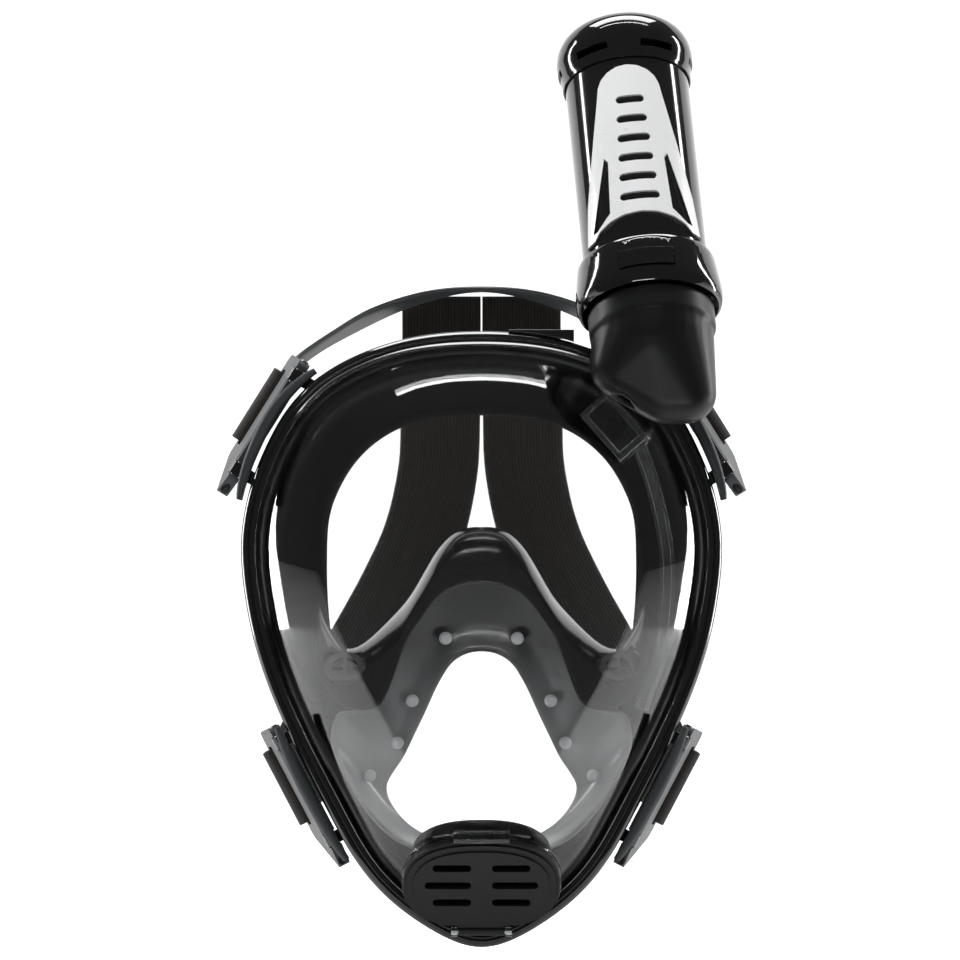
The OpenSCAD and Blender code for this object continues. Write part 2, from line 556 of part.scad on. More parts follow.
badge_t = 1.2;
module tube_badge() color(SILVER) at_tube() {
  r0 = tube_r + 0.1;
  foot = ring_h + 3.5;
  top = tube_len - 4;
  difference() {
    cylinder(r = r0 + badge_t, h = top + 2);
    translate([0, 0, -1]) cylinder(r = r0, h = tube_len + 4);
    translate([-50, 0, -1]) cube([100, 50, 200]);
    rotate([90, 0, 0]) linear_extrude(60) difference() {
      translate([-50, -50]) square([100, 300]);
      polygon(concat([[-22, foot], [-20.6, foot + 16], [-16.8, foot + 38], [-12.6, top - 12]],
        [for (a = [170:-20:10]) [12.2 * cos(a), top - 10 + 10 * sin(a)]],
        [[12.6, top - 12], [16.8, foot + 38], [20.6, foot + 16], [22, foot]],
        [for (a = [10:20:170]) [19.4 * cos(a), foot - 1 + 9 * sin(a)]]));
    }
    rotate([90, 0, 0]) linear_extrude(60) {
      for (side = [-1, 1]) polygon([[side * 12.4, foot + 34], [side * 19.4, foot + 3.5],
        [side * 17.6, foot + 4], [side * 12.2, foot + 9.5], [side * 11, foot + 32]]);
      for (k = [0:5]) let (w = 15.5 - 0.9 * k) translate([0, foot + 15 + 8.6 * k]) hull()
        for (e = [-1, 1]) translate([e * (w / 2 - 1.7), 0]) circle(d = 3.4, $fn = 24);
    }
  }
}

cage_foot = tube_len - 10;
cage_r = bore_r - fit;
cage_top = tube_len + 11;
float_r = cage_r - 2.4;
seat_z = cage_top - 1.6;
seal_h = 1.4;
float_h = 9;
float_foot = seat_z - float_lift - seal_h - float_h - run;
module float_cage() color(SOFT_BLACK) at_tube() {
  difference() {
    translate([0, 0, cage_foot]) cylinder(r = cage_r, h = cage_top - cage_foot);
    translate([0, 0, cage_foot - 1]) cylinder(r = cage_r - 1.6, h = seat_z - cage_foot + 1);
    cylinder(d = intake_d, h = 200);
  }
  difference() {
    translate([0, 0, cage_foot]) cylinder(r = cage_r - 1.5, h = 1.6);
    for (a = [0:120:240]) rotate(a + 60) translate([0, 0, cage_foot - 1]) linear_extrude(5)
      intersection() {
        difference() { circle(r = cage_r - 3.4); circle(r = 4); }
        polygon([[3, 0.6], [40, 20], [40, -20], [3, -0.6]]);
      }
  }
  translate([0, 0, tube_len + 2 + fit]) difference() {
    cylinder(r = tube_r - 0.2, h = 1.4);
    translate([0, 0, -1]) cylinder(r = cage_r - 0.1, h = 4);
  }
  for (side = [-1, 1]) translate([side * post_x, 0, cage_top]) difference() {
    cylinder(r = 2.6, h = post_h);
    translate([0, 0, -1]) cylinder(d = screw_d + 2 * pin_fit, h = 30);
  }
}
post_x = 15.5;
cap_wall = 2;
post_h = cap_h - 14.6 - cap_wall;     // stops under the dome
module float() color("orange") at_tube() translate([0, 0, float_foot]) difference() {
  cylinder(r = float_r, h = float_h);
  translate([0, 0, -1]) cylinder(r = float_r - 2, h = float_h - 1);
}
module float_seal() color(SOFT_BLACK) at_tube() translate([0, 0, float_foot + float_h])
  cylinder(d = intake_d + 6, h = seal_h);

cap_foot = tube_len;
cap_r = tube_r + 2.6;
module top_cap() color(GLOSS_BLACK) at_tube() translate([0, 0, cap_foot]) difference() {
  rotate_extrude() difference() {
    polygon(concat([[0, 0], [tube_r + 0.9, 0], [tube_r + 1.1, 2], [cap_r - 0.2, 8], [cap_r, 10]],
      [for (a = [0:12:72]) [lerp(15.2, cap_r, cos(a)), 11 + (cap_h - 13) * sin(a)]],
      [[15.2, cap_h - 1.2], [14.2, cap_h], [0, cap_h]]));
    polygon(concat([[0, -1], [tube_r + run, -1], [tube_r + run, 7]],
      [for (a = [0:12:72]) [lerp(14, cap_r - cap_wall, cos(a)), 9 + (cap_h - 13) * sin(a)]],
      [[0, cap_h - cap_wall]]));
  }
  for (a = [0:60:300]) rotate(a) translate([tube_r - 6, -7, 4.2]) cube([20, 14, 3]);
  for (side = [-1, 1]) translate([side * post_x, 0, 0]) {
    cylinder(d = screw_d + 2 * run, h = 60);
    translate([0, 0, cap_h - cap_wall + 0.6]) cylinder(d = 4.4, h = 10);
  }
}
module cap_screws() color(STEEL) for (side = [-1, 1]) at_tube()
  translate([side * post_x, 0, 0]) {
    translate([0, 0, cage_top + 0.6]) cylinder(d = screw_d, h = cap_foot + cap_h - cage_top - cap_wall);
    translate([0, 0, cap_foot + cap_h - cap_wall + 0.8]) cylinder(d = 3.8, h = 1.1);
  }

// The glossy shoulder between the rim's crown and the elbow
shoulder_ends = [1, 5];
module tube_socket() color(GLOSS_BLACK) {
  y0 = seat_y([tube_x - 26, crown_up * 0.9]);
  difference() {
    translate([0, y0 + 7, 0]) rotate([90, 0, 0]) linear_extrude(12) polygon(concat(
      [for (i = [shoulder_ends[0]:shoulder_ends[1]]) RIM[i] + fit * outward(RIM, i)],
      [[RIM[shoulder_ends[1]][0], crown_up + 0.5], [RIM[shoulder_ends[0]][0], crown_up + 0.5]]));
    translate([tube_x - ring_r - 1, y0 - 20, 0]) cube([100, 60, 2 * crown_up]);
  }
}
coupler_x = tube_x - 14.3;
coupler_z = tube_z - 44.9;
module duct_coupler() color(CLEAR, 0.6)
  translate([coupler_x, tube_y - 22.2, coupler_z]) rotate([0, 48.7, 0]) difference() {
    cube([25, 6, 14.3], center = true);
    cube([22.4, 3.6, 18], center = true);
    translate([-1, 2, 0]) cube([19, 4, 10], center = true);
  }
module exhale_flap() color(SOFT_BLACK) at_port() translate([0, 0, port_seat - 0.8 - fit])
  cylinder(r = port_r - 0.5, h = 0.8);

// ---------- straps ----------

// Each buckle turns on a pin between two lugs on the rim, and its far bar carries a loop.
// The upper pair sits at the temples and the lower pair at the jaw.
UPPER_SPOT = 10;
LOWER_SPOT = 29;
clip_top = strap_w / 2 + 8;            // from the middle of the loop to the upper end
clip_low = strap_w / 2 + 21;           // and to the lower end
pin_out = 3.7;
pin_back = rim_back - 4;
lug_w = 5;
lug_spots = [-clip_top + 4, clip_low - 14];
module lugs_at(i) difference() {
  at_rim(i) for (x = lug_spots) translate([x, 0, 0]) difference() {
    hull() {
      translate([0, pin_back, pin_out]) rotate([0, 90, 0]) cylinder(r = 2.9, h = lug_w, $fn = 32);
      translate([0, pin_back - 4, -4.5]) cube([lug_w, 8, 1]);
    }
    translate([-1, pin_back, pin_out]) rotate([0, 90, 0])
      cylinder(d = pin_d + 2 * pin_fit, h = lug_w + 2);
  }
  translate([0, 60, 0]) rotate([90, 0, 0]) linear_extrude(120) polygon(inset(wall_w / 2));
}
module upper_lugs() color(GLOSS_BLACK) {
  lugs_at(UPPER_SPOT);
  left() lugs_at(UPPER_SPOT);
}
module lower_lugs() color(GLOSS_BLACK) {
  lugs_at(LOWER_SPOT);
  left() lugs_at(LOWER_SPOT);
}
module buckle_pins() color(STEEL) for (m = [0, 1], i = [UPPER_SPOT, LOWER_SPOT])
  mirror([m, 0, 0]) at_rim(i) translate([-clip_top - 0.5, pin_back, pin_out])
    rotate([0, 90, 0]) cylinder(d = pin_d, h = clip_top + clip_low - 5);

slot_y = clip_len - 9;
clip_flare = 8;
module at_clip(i) at_rim(i) translate([0, pin_back, pin_out]) rotate([clip_flare, 0, 0]) children();
module clip(i) color(GREY) at_clip(i) difference() {
  union() {
    translate([0, 0, -clip_t / 2]) linear_extrude(clip_t) difference() {
      hull() {
        translate([3 - clip_top, 0]) circle(r = 3, $fn = 32);
        translate([4 - clip_top, clip_len - 4]) circle(r = 4, $fn = 32);
        translate([strap_w / 2 + 4, clip_len - 4]) circle(r = 4, $fn = 32);
        translate([clip_low - 3, 3]) circle(r = 3, $fn = 32);
        translate([clip_low - 8, 0]) circle(r = 3, $fn = 32);
      }
      translate([-strap_w / 2 - 1.2, slot_y - 4.5]) square([strap_w + 2.4, 9]);
      for (x = lug_spots) translate([x - run, -6]) square([lug_w + 2 * run, 9.6]);
    }
    translate([lug_spots[0] + lug_w + run, 0, 0]) rotate([0, 90, 0])
      cylinder(r = clip_t / 2 + 0.5, h = lug_spots[1] - lug_spots[0] - lug_w - 2 * run);
  }
  translate([-100, 0, 0]) rotate([0, 90, 0]) cylinder(d = pin_d + 2 * pin_fit, h = 200);
}
loop_len = 26;
bar_half = (clip_len - slot_y - 4.5) / 2;
bar_y = clip_len - bar_half;
loop_r = norm([bar_half, clip_t / 2]) + fit;
module web_loop(i) color(WEBBING) at_clip(i) translate([-strap_w / 2, 0, 0]) rotate([90, 0, 90])
  linear_extrude(strap_w) difference() {
    hull() {
      translate([bar_y, 0]) circle(r = loop_r + strap_t, $fn = 40);
      translate([slot_y + loop_len, 0]) circle(r = strap_t + 0.4, $fn = 40);
    }
    hull() {
      translate([bar_y, 0]) circle(r = loop_r, $fn = 40);
      translate([slot_y + loop_len - 3, 0]) circle(r = 0.4, $fn = 24);
    }
  }
module left() mirror([1, 0, 0]) children();

yoke_w = 30;
yoke_t = 2;
YOKE_PATH = [[87, 47.5, 77.5], [85.5, 56, 81], [78.5, 68, 90], [64, 79, 101.5],
  [47, 89, 111.5], [24, 97, 120.5], [0, 100, 124]];
YOKE_ACROSS = [[-0.53, 0, 0.85], [-0.58, -0.1, 0.8], [-0.6, -0.35, 0.65], [-0.45, -0.75, 0.42],
  [-0.2, -0.93, 0.28], [-0.08, -0.98, 0.12], [0, -1, 0]];
function to_strap(p) = [p[0] * half_w / 94.5, p[1] * strap_back / 104, p[2] * crown_up / 105];
function flip(p) = [-p[0], p[1], p[2]];
function both_ends(list) = concat(list, [for (i = [len(list) - 2:-1:0]) flip(list[i])]);
module crown_yoke() color(GREY) {
  path = open_curve([for (p = both_ends(YOKE_PATH)) to_strap(p)], 4);
  flat_band(path, open_curve(both_ends(YOKE_ACROSS), 4), yoke_w, yoke_t);
}

BAND_PATH = [[16.3, 117, 121.5], [16.3, 119, 96], [16.5, 119, 72], [17.5, 117, 50],
  [23, 112, 25], [33, 102, 2], [46, 88, -22], [59, 71, -44], [68, 55, -60], [72, 41, -70]];
BAND_ACROSS = [[1, 0, -0.14], [1, 0, 0], [1, 0, 0], [1, 0, 0.05], [0.95, 0, 0.3], [0.88, 0, 0.46],
  [0.78, 0, 0.62], [0.66, 0, 0.75], [0.56, 0, 0.83], [0.5, 0, 0.87]];
band_in = strap_w / 2 + 0.3;            // middle of a band from the centre line, at the crown
module strap() color(WEBBING) flat_band(
  open_curve([for (p = BAND_PATH) [band_in + (p[0] - BAND_PATH[0][0]) * half_w / 94.5,
    p[1] * strap_back / 104, p[2] * (p[2] > 0 ? crown_up / 105 : chin_down / 136)]], 4),
  open_curve(BAND_ACROSS, 4), strap_w, strap_t);

// ---------- the nodes ----------

lens();
front_frame();
rear_frame();
frame_screws();
face_skirt();
nose_hood();
smoke_panel();
panel_studs();
inhale_seats();
inhale_flap(-1);  // inhale_flap_left
inhale_flap(1);  // inhale_flap_right
drain_body();
drain_flap();
drain_bezel();
drain_cover();
drain_hinge_pin();
drain_latch();
exhale_duct();
duct_coupler();
exhale_flap();
tube_socket();
snorkel_elbow();
spigot_seal();
snorkel_tube();
tube_divider();
tube_badge();
lock_ring();
latch_button();
button_spring();
float_cage();
float();
float_seal();
top_cap();
cap_screws();
upper_lugs();
lower_lugs();
buckle_pins();
left() clip(UPPER_SPOT);  // upper_clip_left
clip(UPPER_SPOT);  // upper_clip_right
left() clip(LOWER_SPOT);  // lower_clip_left
clip(LOWER_SPOT);  // lower_clip_right
left() web_loop(UPPER_SPOT);  // upper_loop_left
web_loop(UPPER_SPOT);  // upper_loop_right
left() web_loop(LOWER_SPOT);  // lower_loop_left
web_loop(LOWER_SPOT);  // lower_loop_right
crown_yoke();
left() strap();  // strap_left
strap();  // strap_right
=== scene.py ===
"""Full face snorkel: finished shells, silicone, webbing and studio around the fixed frame."""

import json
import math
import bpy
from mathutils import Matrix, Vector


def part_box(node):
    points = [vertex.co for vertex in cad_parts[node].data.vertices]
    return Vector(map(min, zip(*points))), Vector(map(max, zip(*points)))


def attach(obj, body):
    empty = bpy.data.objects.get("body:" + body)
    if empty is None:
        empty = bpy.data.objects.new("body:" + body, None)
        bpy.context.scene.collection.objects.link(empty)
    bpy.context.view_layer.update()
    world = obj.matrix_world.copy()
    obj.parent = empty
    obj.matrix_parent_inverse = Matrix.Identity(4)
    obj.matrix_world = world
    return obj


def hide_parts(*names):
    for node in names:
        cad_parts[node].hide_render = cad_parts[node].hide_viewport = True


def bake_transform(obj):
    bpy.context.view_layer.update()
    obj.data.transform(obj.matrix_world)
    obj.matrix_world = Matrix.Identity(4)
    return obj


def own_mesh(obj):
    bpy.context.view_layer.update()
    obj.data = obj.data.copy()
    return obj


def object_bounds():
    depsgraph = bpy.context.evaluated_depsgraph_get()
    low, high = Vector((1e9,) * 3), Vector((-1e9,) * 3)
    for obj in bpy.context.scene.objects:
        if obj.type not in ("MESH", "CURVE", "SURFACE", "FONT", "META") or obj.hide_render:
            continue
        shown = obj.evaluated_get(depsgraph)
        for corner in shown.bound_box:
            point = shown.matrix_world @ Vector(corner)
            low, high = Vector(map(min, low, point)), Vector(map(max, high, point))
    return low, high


bl_info = {
    "name": "Full face snorkel finish",
    "version": (1, 0, 0),
    "blender": (4, 5, 0),
    "location": "3D View > Sidebar > Snorkel",
    "description": "Finished surfaces and soft parts of a full face snorkel",
    "category": "Object",
}

import bmesh
import bpy
from mathutils import Matrix, Vector

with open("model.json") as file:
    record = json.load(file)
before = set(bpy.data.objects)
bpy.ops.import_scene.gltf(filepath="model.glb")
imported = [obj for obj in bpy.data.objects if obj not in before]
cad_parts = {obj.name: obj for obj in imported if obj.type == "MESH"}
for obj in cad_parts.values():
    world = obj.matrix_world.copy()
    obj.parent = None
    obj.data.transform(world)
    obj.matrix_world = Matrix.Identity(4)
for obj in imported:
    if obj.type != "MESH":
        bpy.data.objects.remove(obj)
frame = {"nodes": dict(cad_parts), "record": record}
CAD_BOX = [list(corner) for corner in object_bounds()]

MM = 0.001
RECORD = frame["record"]
BODY_OF = {n: b for b, names in RECORD["behaviour"]["bodies"].items() for n in names}
SLOT_OF = {s["node"]: s["material_slot"] for s in RECORD["subparts"]}
JOINTS = {j["name"]: j for j in RECORD["behaviour"]["joints"]}


# ---------- sizes and colours a user would change ----------

class SNORKEL_PG_sizes(bpy.types.PropertyGroup):
    """Sizes of the finish"""
    edge: bpy.props.FloatProperty(
        name="Edge radius", description="Radius of the moulded edges",
        default=0.35 * MM, min=0.1 * MM, max=0.8 * MM, unit="LENGTH", precision=5)
    fine_edge: bpy.props.FloatProperty(
        name="Fine edge radius", description="Radius of edges on small pieces",
        default=0.15 * MM, min=0.05 * MM, max=0.4 * MM, unit="LENGTH", precision=5)
    skin_grid: bpy.props.FloatProperty(
        name="Elbow grid", description="Grid on which the elbow's skin is rebuilt",
        default=0.8 * MM, min=0.5 * MM, max=1.5 * MM, unit="LENGTH", precision=5)
    band_width: bpy.props.FloatProperty(
        name="Band width", description="Width of the elastic bands",
        default=32 * MM, min=20 * MM, max=45 * MM, unit="LENGTH")
    band_thickness: bpy.props.FloatProperty(
        name="Band thickness", description="Thickness of the elastic bands",
        default=1.9 * MM, min=1 * MM, max=3 * MM, unit="LENGTH")
    rib_height: bpy.props.FloatProperty(
        name="Rib height", description="How far each woven rib stands up",
        default=0.22 * MM, min=0.05 * MM, max=0.5 * MM, unit="LENGTH", precision=5)
    ribs: bpy.props.IntProperty(
        name="Ribs", description="Number of woven ribs across a band", default=21, min=8, max=32)


class SNORKEL_PG_colours(bpy.types.PropertyGroup):
    """Colours of the finish"""
    gloss: bpy.props.FloatVectorProperty(
        name="Gloss black", description="Glossy black plastic", subtype="COLOR",
        default=(0.006, 0.006, 0.0065), min=0, max=1)
    silicone: bpy.props.FloatVectorProperty(
        name="Silicone", description="Black silicone", subtype="COLOR",
        default=(0.007, 0.007, 0.0075), min=0, max=1)
    satin: bpy.props.FloatVectorProperty(
        name="Satin black", description="Elbow and drain plastic", subtype="COLOR",
        default=(0.0065, 0.0068, 0.0072), min=0, max=1)
    # The smoke panel's two colours are painted light: painted shade near the nose and painted backlight
    # towards the chin.
    smoke_painted_shade: bpy.props.FloatVectorProperty(
        name="Smoke near the nose", description="Panel colour at its top", subtype="COLOR",
        default=(0.008, 0.008, 0.0085), min=0, max=1)
    smoke_painted_backlight: bpy.props.FloatVectorProperty(
        name="Smoke near the chin", description="Panel colour at its foot", subtype="COLOR",
        default=(0.2, 0.203, 0.207), min=0, max=1)
    grey: bpy.props.FloatVectorProperty(
        name="Strap grey", description="Buckles and crown yoke", subtype="COLOR",
        default=(0.03, 0.034, 0.037), min=0, max=1)
    webbing: bpy.props.FloatVectorProperty(
        name="Webbing", description="Elastic bands", subtype="COLOR",
        default=(0.011, 0.0075, 0.005), min=0, max=1)
    silver: bpy.props.FloatVectorProperty(
        name="Silver", description="Badge plate", subtype="COLOR",
        default=(0.86, 0.865, 0.87), min=0, max=1)


class SNORKEL_PG_studio(bpy.types.PropertyGroup):
    """Camera and light"""
    distance: bpy.props.FloatProperty(
        name="Camera distance", description="From the camera to the lens frame",
        default=3.4, min=0.8, max=6, unit="LENGTH")
    view_width: bpy.props.FloatProperty(
        name="View width", description="Width seen at the lens frame",
        default=0.3745, min=0.2, max=1, unit="LENGTH")
    middle: bpy.props.FloatVectorProperty(
        name="View middle", description="Place that the camera looks at", subtype="TRANSLATION",
        default=(-0.0006, -0.03, 0.0468))
    backdrop: bpy.props.FloatProperty(
        name="Ambient light", description="Strength of the even light", default=0.09, min=0, max=3)
    paper: bpy.props.FloatProperty(
        name="Paper glow", description="How bright the studio paper shines",
        default=0.9, min=0, max=2)


def sizes():
    return bpy.context.scene.snorkel_sizes


def colours():
    return bpy.context.scene.snorkel_colours


# ---------- materials ----------

def put(tree, kind, **values):
    """A shader node with its settings and plain input values."""
    node = tree.nodes.new(kind)
    for key, value in values.items():
        if hasattr(node, key):
            setattr(node, key, value)
        else:
            node.inputs[key.replace("_", " ")].default_value = value
    return node


def grain_group():
    """Moulded grain: a colour that drifts a little, a roughness and a fine height."""
    name = "Moulded grain"
    if name in bpy.data.node_groups:
        return bpy.data.node_groups[name]
    tree = bpy.data.node_groups.new(name, "ShaderNodeTree")
    face = tree.interface
    inputs = (("Colour", "NodeSocketColor", (0.1, 0.1, 0.1, 1)), ("Drift", "NodeSocketFloat", 0.2),
              ("Grain Scale", "NodeSocketFloat", 900), ("Low", "NodeSocketFloat", 0.2),
              ("High", "NodeSocketFloat", 0.3))
    for label, kind, value in inputs:
        face.new_socket(label, in_out="INPUT", socket_type=kind).default_value = value
    for label, kind in (("Colour", "NodeSocketColor"), ("Roughness", "NodeSocketFloat"),
                        ("Height", "NodeSocketFloat")):
        face.new_socket(label, in_out="OUTPUT", socket_type=kind)
    start = put(tree, "NodeGroupInput")
    end = put(tree, "NodeGroupOutput")
    place = put(tree, "ShaderNodeTexCoord")
    broad = put(tree, "ShaderNodeTexNoise", Scale=28.0, Detail=3.0)
    fine = put(tree, "ShaderNodeTexNoise", Detail=2.0)
    link = tree.links.new
    link(place.outputs["Object"], broad.inputs["Vector"])
    link(place.outputs["Object"], fine.inputs["Vector"])
    link(start.outputs["Grain Scale"], fine.inputs["Scale"])
    lift = put(tree, "ShaderNodeMath", operation="MULTIPLY_ADD")
    lift.inputs[2].default_value = 1.0
    centred = put(tree, "ShaderNodeMath", operation="SUBTRACT")
    centred.inputs[1].default_value = 0.5
    link(broad.outputs["Fac"], centred.inputs[0])
    link(centred.outputs[0], lift.inputs[0])
    link(start.outputs["Drift"], lift.inputs[1])
    tint = put(tree, "ShaderNodeVectorMath", operation="SCALE")
    link(start.outputs["Colour"], tint.inputs[0])
    link(lift.outputs[0], tint.inputs["Scale"])
    link(tint.outputs[0], end.inputs["Colour"])
    rough = put(tree, "ShaderNodeMapRange")
    rough.inputs["From Min"].default_value = 0.3
    rough.inputs["From Max"].default_value = 0.7
    link(broad.outputs["Fac"], rough.inputs["Value"])
    link(start.outputs["Low"], rough.inputs["To Min"])
    link(start.outputs["High"], rough.inputs["To Max"])
    link(rough.outputs["Result"], end.inputs["Roughness"])
    link(fine.outputs["Fac"], end.inputs["Height"])
    return tree


def new_material(name):
    """A material with only its shader; returns it with its tree and its shader."""
    material = bpy.data.materials.new(name)
    material.use_nodes = True
    return material, material.node_tree, material.node_tree.nodes["Principled BSDF"]


def moulded(name, colour, low, high, grain=900.0, depth=0.02, drift=0.25, **shader_values):
    """Moulded plastic, silicone or metal: grain group into the shader."""
    if name in bpy.data.materials:
        return bpy.data.materials[name]
    material, tree, shader = new_material(name)
    group = put(tree, "ShaderNodeGroup")
    group.node_tree = grain_group()
    for label, value in (("Colour", (*colour, 1)), ("Drift", drift), ("Grain Scale", grain),
                         ("Low", low), ("High", high)):
        group.inputs[label].default_value = value
    bump = put(tree, "ShaderNodeBump", Strength=0.3, Distance=depth * MM)
    tree.links.new(group.outputs["Colour"], shader.inputs["Base Color"])
    tree.links.new(group.outputs["Roughness"], shader.inputs["Roughness"])
    tree.links.new(group.outputs["Height"], bump.inputs["Height"])
    tree.links.new(bump.outputs["Normal"], shader.inputs["Normal"])
    for key, value in shader_values.items():
        shader.inputs[key.replace("_", " ")].default_value = value
    return material


def gloss_black():
    return moulded("Gloss black plastic", colours().gloss, 0.05, 0.12, 500, 0.004,
                   Coat_Weight=0.5, Coat_Roughness=0.04)


def soft_black():
    return moulded("Black silicone", colours().silicone, 0.34, 0.46, 1400, 0.02,
                   Specular_IOR_Level=0.25)


def hood_black():
    return moulded("Glossy black silicone", colours().silicone, 0.13, 0.2, 900, 0.01)


def satin_black():
    return moulded("Satin black plastic", colours().satin, 0.34, 0.42, 1600, 0.02,
                   Specular_IOR_Level=0.35)


def strap_grey():
    return moulded("Matte grey plastic", colours().grey, 0.4, 0.5, 1500, 0.03)


def satin_silver():
    return moulded("Satin silver", colours().silver, 0.24, 0.34, 2200, 0.01, 0.08, Metallic=0.1)


def steel():
    return moulded("Stainless steel", (0.55, 0.56, 0.57), 0.2, 0.32, 2400, 0.01, 0.1, Metallic=1.0)


def float_foam():
    return moulded("Float", (0.62, 0.62, 0.6), 0.55, 0.7, 1200, 0.06)


def smoke_silicone():
    """Smoke silicone with painted light: painted shade keeps it darker at the nose, and painted
    backlight, as if the bright backdrop shone through, makes it paler towards the chin.
    """
    name = "Smoke silicone"
    if name in bpy.data.materials:
        return bpy.data.materials[name]
    low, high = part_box("smoke_panel")
    material, tree, shader = new_material(name)
    place = put(tree, "ShaderNodeTexCoord")
    split = put(tree, "ShaderNodeSeparateXYZ")
    height = put(tree, "ShaderNodeMapRange")
    height.inputs["From Min"].default_value = low.z + 0.35 * (high.z - low.z)
    height.inputs["From Max"].default_value = high.z - 0.25 * (high.z - low.z)
    # Painted light: the mix runs from the painted backlight low on the panel to the painted shade high
    # on it.
    blend = put(tree, "ShaderNodeMix", data_type="RGBA")
    blend.inputs["A"].default_value = (*colours().smoke_painted_backlight, 1)
    blend.inputs["B"].default_value = (*colours().smoke_painted_shade, 1)
    tree.links.new(place.outputs["Object"], split.inputs[0])
    tree.links.new(split.outputs["Z"], height.inputs["Value"])
    tree.links.new(height.outputs["Result"], blend.inputs["Factor"])
    tree.links.new(blend.outputs["Result"], shader.inputs["Base Color"])
    shader.inputs["Roughness"].default_value = 0.28
    shader.inputs["Coat Weight"].default_value = 0.2
    return material


def clear_plastic(name="Clear polycarbonate", tint=(0.97, 0.98, 0.98), roughness=0.02):
    """Clear plastic whose polish drifts a little."""
    if name in bpy.data.materials:
        return bpy.data.materials[name]
    material, tree, shader = new_material(name)
    place = put(tree, "ShaderNodeTexCoord")
    haze = put(tree, "ShaderNodeTexNoise", Scale=35.0, Detail=2.0)
    spread = put(tree, "ShaderNodeMapRange")
    spread.inputs["To Min"].default_value = roughness
    spread.inputs["To Max"].default_value = roughness * 1.8
    tree.links.new(place.outputs["Object"], haze.inputs["Vector"])
    tree.links.new(haze.outputs["Fac"], spread.inputs["Value"])
    tree.links.new(spread.outputs["Result"], shader.inputs["Roughness"])
    shader.inputs["Base Color"].default_value = (*tint, 1)
    shader.inputs["Transmission Weight"].default_value = 1.0
    shader.inputs["IOR"].default_value = 1.49
    return material


def webbing(name, run, across):
    """Woven elastic: threads along and across the band, from its own lengthwise map in millimetres."""
    if name in bpy.data.materials:
        return bpy.data.materials[name]
    material, tree, shader = new_material(name)
    place = put(tree, "ShaderNodeUVMap")
    threads = []
    for direction, scale in (("X", run), ("Y", across)):
        wave = put(tree, "ShaderNodeTexWave", bands_direction=direction, Scale=scale, Distortion=0.6)
        tree.links.new(place.outputs["UV"], wave.inputs["Vector"])
        threads.append(wave)
    weave = put(tree, "ShaderNodeMath", operation="MULTIPLY")
    tree.links.new(threads[0].outputs["Fac"], weave.inputs[0])
    tree.links.new(threads[1].outputs["Fac"], weave.inputs[1])
    ramp = put(tree, "ShaderNodeMix", data_type="RGBA")
    dark = [c * 0.45 for c in colours().webbing]
    light = [c * 1.7 for c in colours().webbing]
    ramp.inputs["A"].default_value = (*dark, 1)
    ramp.inputs["B"].default_value = (*light, 1)
    bump = put(tree, "ShaderNodeBump", Strength=0.7, Distance=0.12 * MM)
    tree.links.new(weave.outputs[0], ramp.inputs["Factor"])
    tree.links.new(ramp.outputs["Result"], shader.inputs["Base Color"])
    tree.links.new(weave.outputs[0], bump.inputs["Height"])
    tree.links.new(bump.outputs["Normal"], shader.inputs["Normal"])
    shader.inputs["Roughness"].default_value = 0.85
    shader.inputs["Sheen Weight"].default_value = 0.15
    return material


# ---------- meshes ----------

def cad_bmesh(node):
    """The CAD node's mesh with its doubled vertices merged."""
    mesh = bmesh.new()
    mesh.from_mesh(frame["nodes"][node].data)
    bmesh.ops.remove_doubles(mesh, verts=mesh.verts, dist=0.002 * MM)
    return mesh


def set_sharp(mesh, degrees):
    """Smooth faces, with edges over the angle kept sharp."""
    for face in mesh.faces:
        face.smooth = True
    for edge in mesh.edges:
        if len(edge.link_faces) == 2:
            edge.smooth = edge.calc_face_angle(0.0) < math.radians(degrees)


def add_piece(name, mesh, material, body, slot, *replaced):
    """Makes the object, gives it its finish and body, and hides the CAD nodes that it stands for."""
    data = bpy.data.meshes.new(name)
    mesh.to_mesh(data)
    mesh.free()
    data.materials.clear()
    data.materials.append(material)
    piece = bpy.data.objects.new(name, data)
    bpy.context.scene.collection.objects.link(piece)
    if replaced:
        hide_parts(*replaced)
    if body:
        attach(piece, body)
    return piece


def applied(piece):
    """Bakes the piece's modifiers into its mesh."""
    graph = bpy.context.evaluated_depsgraph_get()
    final = bpy.data.meshes.new_from_object(piece.evaluated_get(graph))
    piece.modifiers.clear()
    piece.data = final
    return piece


def moulding(node, material, crease_angle=35, crease=0.55, level=1):
    """A smooth moulded copy of a ring-built node."""
    mesh = cad_bmesh(node)
    bmesh.ops.join_triangles(mesh, faces=mesh.faces, angle_face_threshold=0.6,
                             angle_shape_threshold=1.2)
    layer = mesh.edges.layers.float.get("crease_edge") or mesh.edges.layers.float.new("crease_edge")
    for edge in mesh.edges:
        if len(edge.link_faces) == 2 and edge.calc_face_angle(0.0) > math.radians(crease_angle):
            edge[layer] = crease
    for face in mesh.faces:
        face.smooth = True
    piece = add_piece(f"{node}_shell", mesh, material, BODY_OF[node], SLOT_OF[node], node)
    smooth = piece.modifiers.new("Smooth", "SUBSURF")
    smooth.levels = level
    smooth.render_levels = level
    return applied(piece)


def eased(node, material, width, angle=38, segments=2):
    """A copy of a mechanical node with its edges eased."""
    mesh = cad_bmesh(node)
    bmesh.ops.dissolve_limit(mesh, angle_limit=math.radians(0.6), verts=mesh.verts, edges=mesh.edges)
    set_sharp(mesh, angle)
    piece = add_piece(f"{node}_eased", mesh, material, BODY_OF[node], SLOT_OF[node], node)
    ease = piece.modifiers.new("Ease", "BEVEL")
    ease.width = width
    ease.segments = segments
    ease.limit_method = "ANGLE"
    ease.angle_limit = math.radians(angle)
    ease.harden_normals = True
    return applied(piece)


def dress(node, material):
    """Keeps the CAD node and gives it its finish."""
    shown = frame["nodes"][node]
    shown.data.materials.clear()
    shown.data.materials.append(material)


